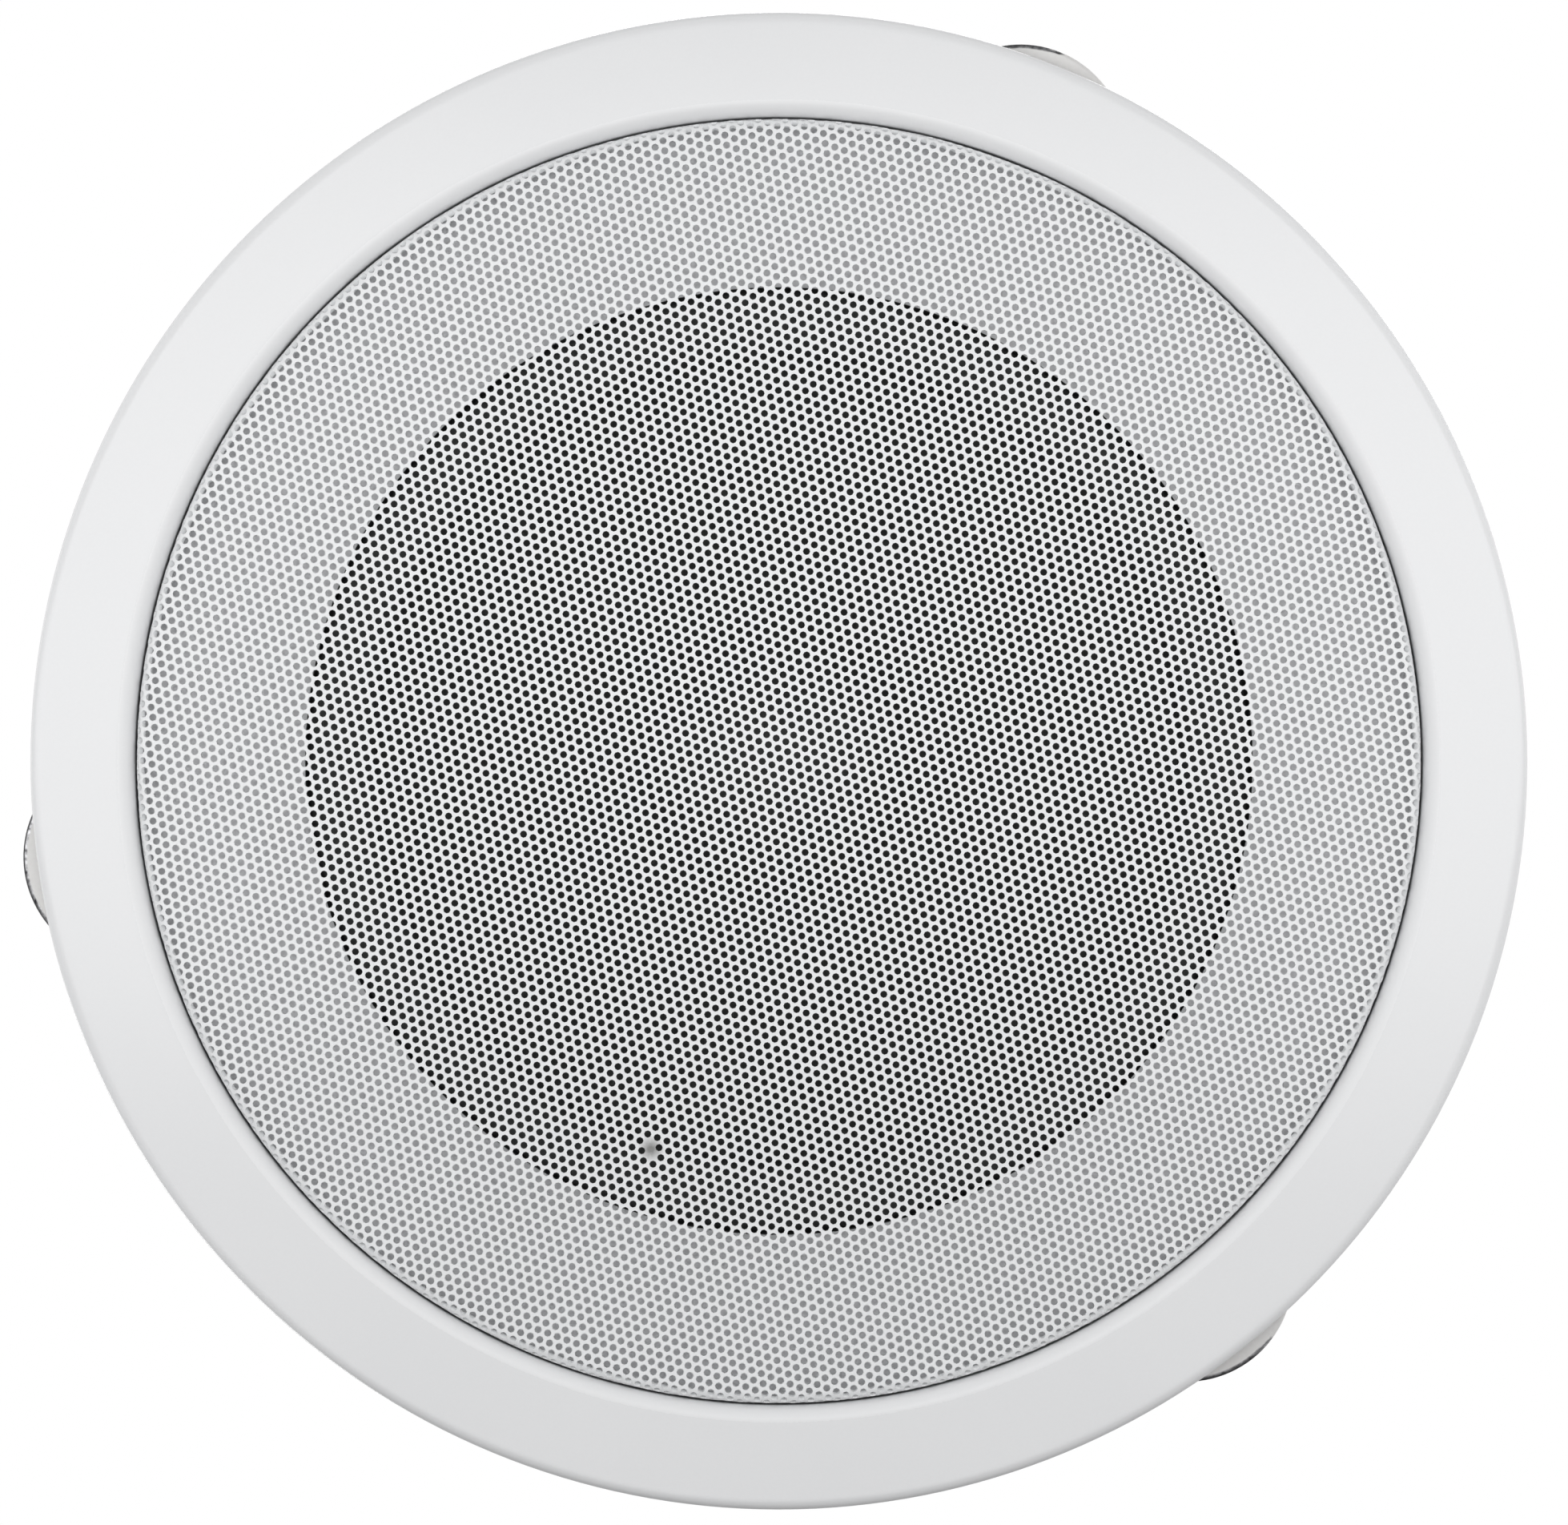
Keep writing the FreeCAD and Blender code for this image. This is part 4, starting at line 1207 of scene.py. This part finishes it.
def perforated_dish():
    """Hexagonal cells, each with a round hole, laid in rows and folded down over the dish's rim."""
    lengths = ["Pitch", "Hole", "Sheet", "Flat radius", "Bend", "Skirt", "Front"]
    inputs = dict.fromkeys(lengths + ["Row angle", "Start", "Stop"], "Float")
    inputs |= {"Cells": "Int", "Origin": "Vector", "Clogged": "Vector", "Finish": "Material"}
    tree, given, out = new_group("perforated_dish", "GeometryNodeTree", inputs, {"Dish": "Geometry"})
    plus, minus, times = (partial(reckon, tree, sign) for sign in ("ADD", "SUBTRACT", "MULTIPLY"))
    below, above = (partial(reckon, tree, sign) for sign in ("LESS_THAN", "GREATER_THAN"))
    least, over = (partial(reckon, tree, sign) for sign in ("MINIMUM", "DIVIDE"))
    sine, cosine = (partial(reckon, tree, sign) for sign in ("SINE", "COSINE"))

    holes_end = plus(given["Flat radius"], times(given["Bend"], math.pi / 2))
    sheet_end = plus(holes_end, given["Skirt"])
    side = times(minus(given["Cells"], 1.0), given["Pitch"])
    cells = {"Size X": side, "Size Y": side, "Vertices X": given["Cells"], "Vertices Y": given["Cells"]}
    grid = result(tree, "GeometryNodeMeshGrid", cells)
    here = result(tree, "GeometryNodeInputPosition")
    flat = split(tree, here)
    slant = reckon(tree, "MULTIPLY_ADD", flat["Y"], 0.5, flat["X"])
    rows = {"Vector": spot_at(tree, slant, times(flat["Y"], math.sqrt(3) / 2)), "Angle": given["Row angle"]}
    lined = result(tree, "ShaderNodeVectorRotate", rows, rotation_type="Z_AXIS")
    centred = vectors(tree, "ADD", lined, given["Origin"])[0]
    lattice = result(tree, "GeometryNodeSetPosition", {"Geometry": grid, "Position": centred})

    reach = vectors(tree, "LENGTH", here)["Value"]
    bearing = reckon(tree, "ARCTAN2", flat["Y"], flat["X"])
    inside = times(above(bearing, given["Start"]), minus(1.0, above(bearing, given["Stop"])))
    from_clogged = vectors(tree, "DISTANCE", here, given["Clogged"])["Value"]
    is_open = above(from_clogged, times(given["Pitch"], HOLE_CLOGGED))
    pierced = times(inside, times(is_open, below(reach, holes_end)))
    blank = times(minus(inside, pierced), below(reach, sheet_end))

    hexagon = {"Resolution": 6, "Radius": over(given["Pitch"], math.sqrt(3))}
    border = result(tree, "GeometryNodeCurvePrimitiveCircle", hexagon)
    circle = {"Resolution": HOLE_SIDES, "Radius": times(given["Hole"], 0.5 * HOLE_EVEN)}
    bore = result(tree, "GeometryNodeCurvePrimitiveCircle", circle)
    both = brought_together(tree, border, bore)
    cell = result(tree, "GeometryNodeFillCurve", {"Curve": both}, mode="TRIANGLES")
    plug = result(tree, "GeometryNodeFillCurve", {"Curve": border}, mode="NGONS")
    turn = turn_of(tree, plus(given["Row angle"], math.pi / 6))
    laid = []
    for chosen, tile in ((pierced, cell), (blank, plug)):
        tiles = {"Points": lattice, "Selection": chosen, "Instance": tile, "Rotation": turn}
        laid.append(result(tree, "GeometryNodeInstanceOnPoints", tiles))
    real = result(tree, "GeometryNodeRealizeInstances", {"Geometry": brought_together(tree, *laid)})
    sheet = welded(tree, real)

    out_by = least(reach, sheet_end)
    level = least(out_by, given["Flat radius"])
    fold = least(over(minus(out_by, level), given["Bend"]), math.pi / 2)
    hang = reckon(tree, "MAXIMUM", minus(out_by, holes_end), 0.0)
    radius = reckon(tree, "MULTIPLY_ADD", sine(fold), given["Bend"], level)
    sunk = times(minus(1.0, cosine(fold)), given["Bend"])
    height = plus(plus(sunk, hang), given["Front"])
    dished = spot_at(tree, times(cosine(bearing), radius), times(sine(bearing), radius), height)
    skin = result(tree, "GeometryNodeSetPosition", {"Geometry": sheet, "Position": dished})
    thick = {"Mesh": skin, "Offset Scale": given["Sheet"], "Individual": False}
    back = result(tree, "GeometryNodeExtrudeMesh", thick)
    front = result(tree, "GeometryNodeFlipFaces", {"Mesh": skin})
    closed = welded(tree, brought_together(tree, back, front))
    return dressed(tree, closed, given["Finish"], out["Dish"])


grille_paint = finish_of(
    "grille_paint", (0.85, 0.86, 0.868), (0.825, 0.835, 0.843), 0.25, 0.31, 1500, 0.003, drifts=30
)
specked(grille_paint, 200, 0.003)
grille_paint.body["Specular IOR Level"].default_value = 0.5
from_smudge = away_from(grille_paint, *SMUDGE_AT)
smudge_ends = (SMUDGE_INNER_R * MM, SMUDGE_OUTER_R * MM)
tinted(grille_paint, ranged(grille_paint.tree, from_smudge, *smudge_ends, SMUDGE_SHARE, 0.0), SMUDGE)
dish = perforated_dish()
for part in range(GRILLE_PARTS):
    name = "grille_part_%d" % (part + 1)
    start = -math.pi + math.tau * part / GRILLE_PARTS
    quarter = grown(
        in_scene(name, bpy.data.meshes.new(name)),
        dish,
        pitch=HOLE_PITCH * MM,
        hole=HOLE_ACROSS * MM,
        sheet=GRILLE_SHEET * MM,
        flat_radius=(grille_high.x - GRILLE_BEND) * MM,
        bend=GRILLE_BEND * MM,
        skirt=(grille_high.z - grille_low.z - GRILLE_BEND) * MM,
        front=grille_low.z * MM,
        row_angle=HOLE_ROW_ANGLE,
        origin=(HOLE_ORIGIN[0] * MM, HOLE_ORIGIN[1] * MM, 0.0),
        cells=CELLS_ACROSS,
        clogged=(SMUDGE_AT[0] * MM, SMUDGE_AT[1] * MM, 0.0),
        start=start,
        stop=start + math.tau / GRILLE_PARTS,
        finish=grille_paint.material,
    )
    fitted(quarter, "grille", "root")

# Studio: the speaker is seen from below, as it hangs in a ceiling. A wide soft strip and a larger
# panel light its front, two boxes above light its back, and a pale floor lies far beneath it.
VIEW_TURN = math.radians(8.4)
CAMERA_AWAY = 1.25
CAMERA_SEES = 50.0
SENSOR_WIDTH = 36.0
FRAME_WIDTH = 0.23016
CENTRE_SHIFT = (0.75, -0.22)
BACK_AIM = Vector((0, 0, 0.03))
SKY_BELOW = 0.23
SKY_ABOVE = 0.6
SKY_SIDES = 0.3
SKY_BEHIND = 1.4
SKY_IN_FRONT = 0.12
FLOOR_Z = -1.6
FLOOR_HALF = 30.0
photo_right = Vector((math.cos(VIEW_TURN), math.sin(VIEW_TURN), 0))
photo_up = Vector((math.sin(VIEW_TURN), -math.cos(VIEW_TURN), 0))
lens = bpy.data.cameras.new("camera")
lens.sensor_width = SENSOR_WIDTH
lens.lens = SENSOR_WIDTH * CAMERA_AWAY / FRAME_WIDTH
lens.clip_end = CAMERA_SEES
camera = in_scene("camera", lens)
shift = photo_right * CENTRE_SHIFT[0] + photo_up * CENTRE_SHIFT[1]
camera.location = shift * MM + Vector((0, 0, face_z * MM - CAMERA_AWAY))
camera.rotation_euler = (math.pi, 0, VIEW_TURN)
bpy.context.scene.camera = camera


def soft_box(name, place, turn, width, height, radiance):
    """A rectangle of even light, given its brightness against a white wall's."""
    light = bpy.data.lights.new(name, "AREA")
    light.shape = "RECTANGLE"
    light.size = width
    light.size_y = height
    light.energy = radiance * math.pi * width * height
    box = in_scene(name, light)
    box.location = place
    box.rotation_euler = turn
    box.visible_camera = False


for name, away, low, high, width, radiance in (
    ("front_strip", 0.357, -0.05, 0.126, 2.0, 2.05),
    ("front_panel", 0.708, -0.555, 0.637, 1.8, 0.4),
):
    place = photo_up * (low + high) / 2 + Vector((0, 0, -away))
    soft_box(name, place, camera.rotation_euler, width, high - low, radiance)
for name, place, width, height, radiance in (
    ("back_box", Vector((0.25, -0.45, 1.55)), 1.0, 0.8, 2.4),
    ("rim_box", Vector((-0.8, 0.45, 1.0)), 0.6, 0.6, 2.0),
):
    soft_box(name, place, (BACK_AIM - place).to_track_quat("-Z", "Y").to_euler(), width, height, radiance)

sky = bpy.data.worlds.new("sky")
sky.use_nodes = True
sky_tree = sky.node_tree
sky_tree.nodes.clear()
seen = sky_tree.nodes.new("ShaderNodeLightPath").outputs["Is Camera Ray"]
direction = sky_tree.nodes.new("ShaderNodeTexCoord").outputs["Generated"]
upwards, ahead, sideways = (
    vectors(sky_tree, "DOT_PRODUCT", direction, way)["Value"] for way in (photo_up, (0, 0, -1), photo_right)
)
glow = ranged(sky_tree, upwards, -0.9, 0.1, SKY_BELOW, SKY_ABOVE)
to_side = reckon(sky_tree, "ABSOLUTE", sideways)
glow = reckon(sky_tree, "ADD", glow, ranged(sky_tree, to_side, 0.4, 0.9, 0.0, SKY_SIDES))
glow = reckon(sky_tree, "MULTIPLY", glow, ranged(sky_tree, ahead, -0.6, -0.15, SKY_BEHIND, 1.0))
glow = reckon(sky_tree, "MULTIPLY", glow, ranged(sky_tree, ahead, 0.3, 0.75, 1.0, SKY_IN_FRONT))
strength = reckon(sky_tree, "MAXIMUM", glow, seen)
background = result(sky_tree, "ShaderNodeBackground", {"Color": (1, 1, 1, 1), "Strength": strength})
sky_tree.links.new(background, sky_tree.nodes.new("ShaderNodeOutputWorld").inputs["Surface"])
bpy.context.scene.world = sky
bpy.context.scene.view_settings.view_transform = "Standard"

floor_paint = finish_of(
    "floor_paint", (0.92, 0.92, 0.92), (0.905, 0.905, 0.905), 0.7, 0.85, 40, 0.02, drifts=3
)
floor_corners = [(x, y, FLOOR_Z) for x, y in oblong(-FLOOR_HALF, FLOOR_HALF, -FLOOR_HALF, FLOOR_HALF)]
floor = shell("floor", floor_corners, [[0, 1, 2, 3]])
floor.data.materials.append(floor_paint.material)
floor.visible_diffuse = False
floor.visible_glossy = False
floor.visible_shadow = False
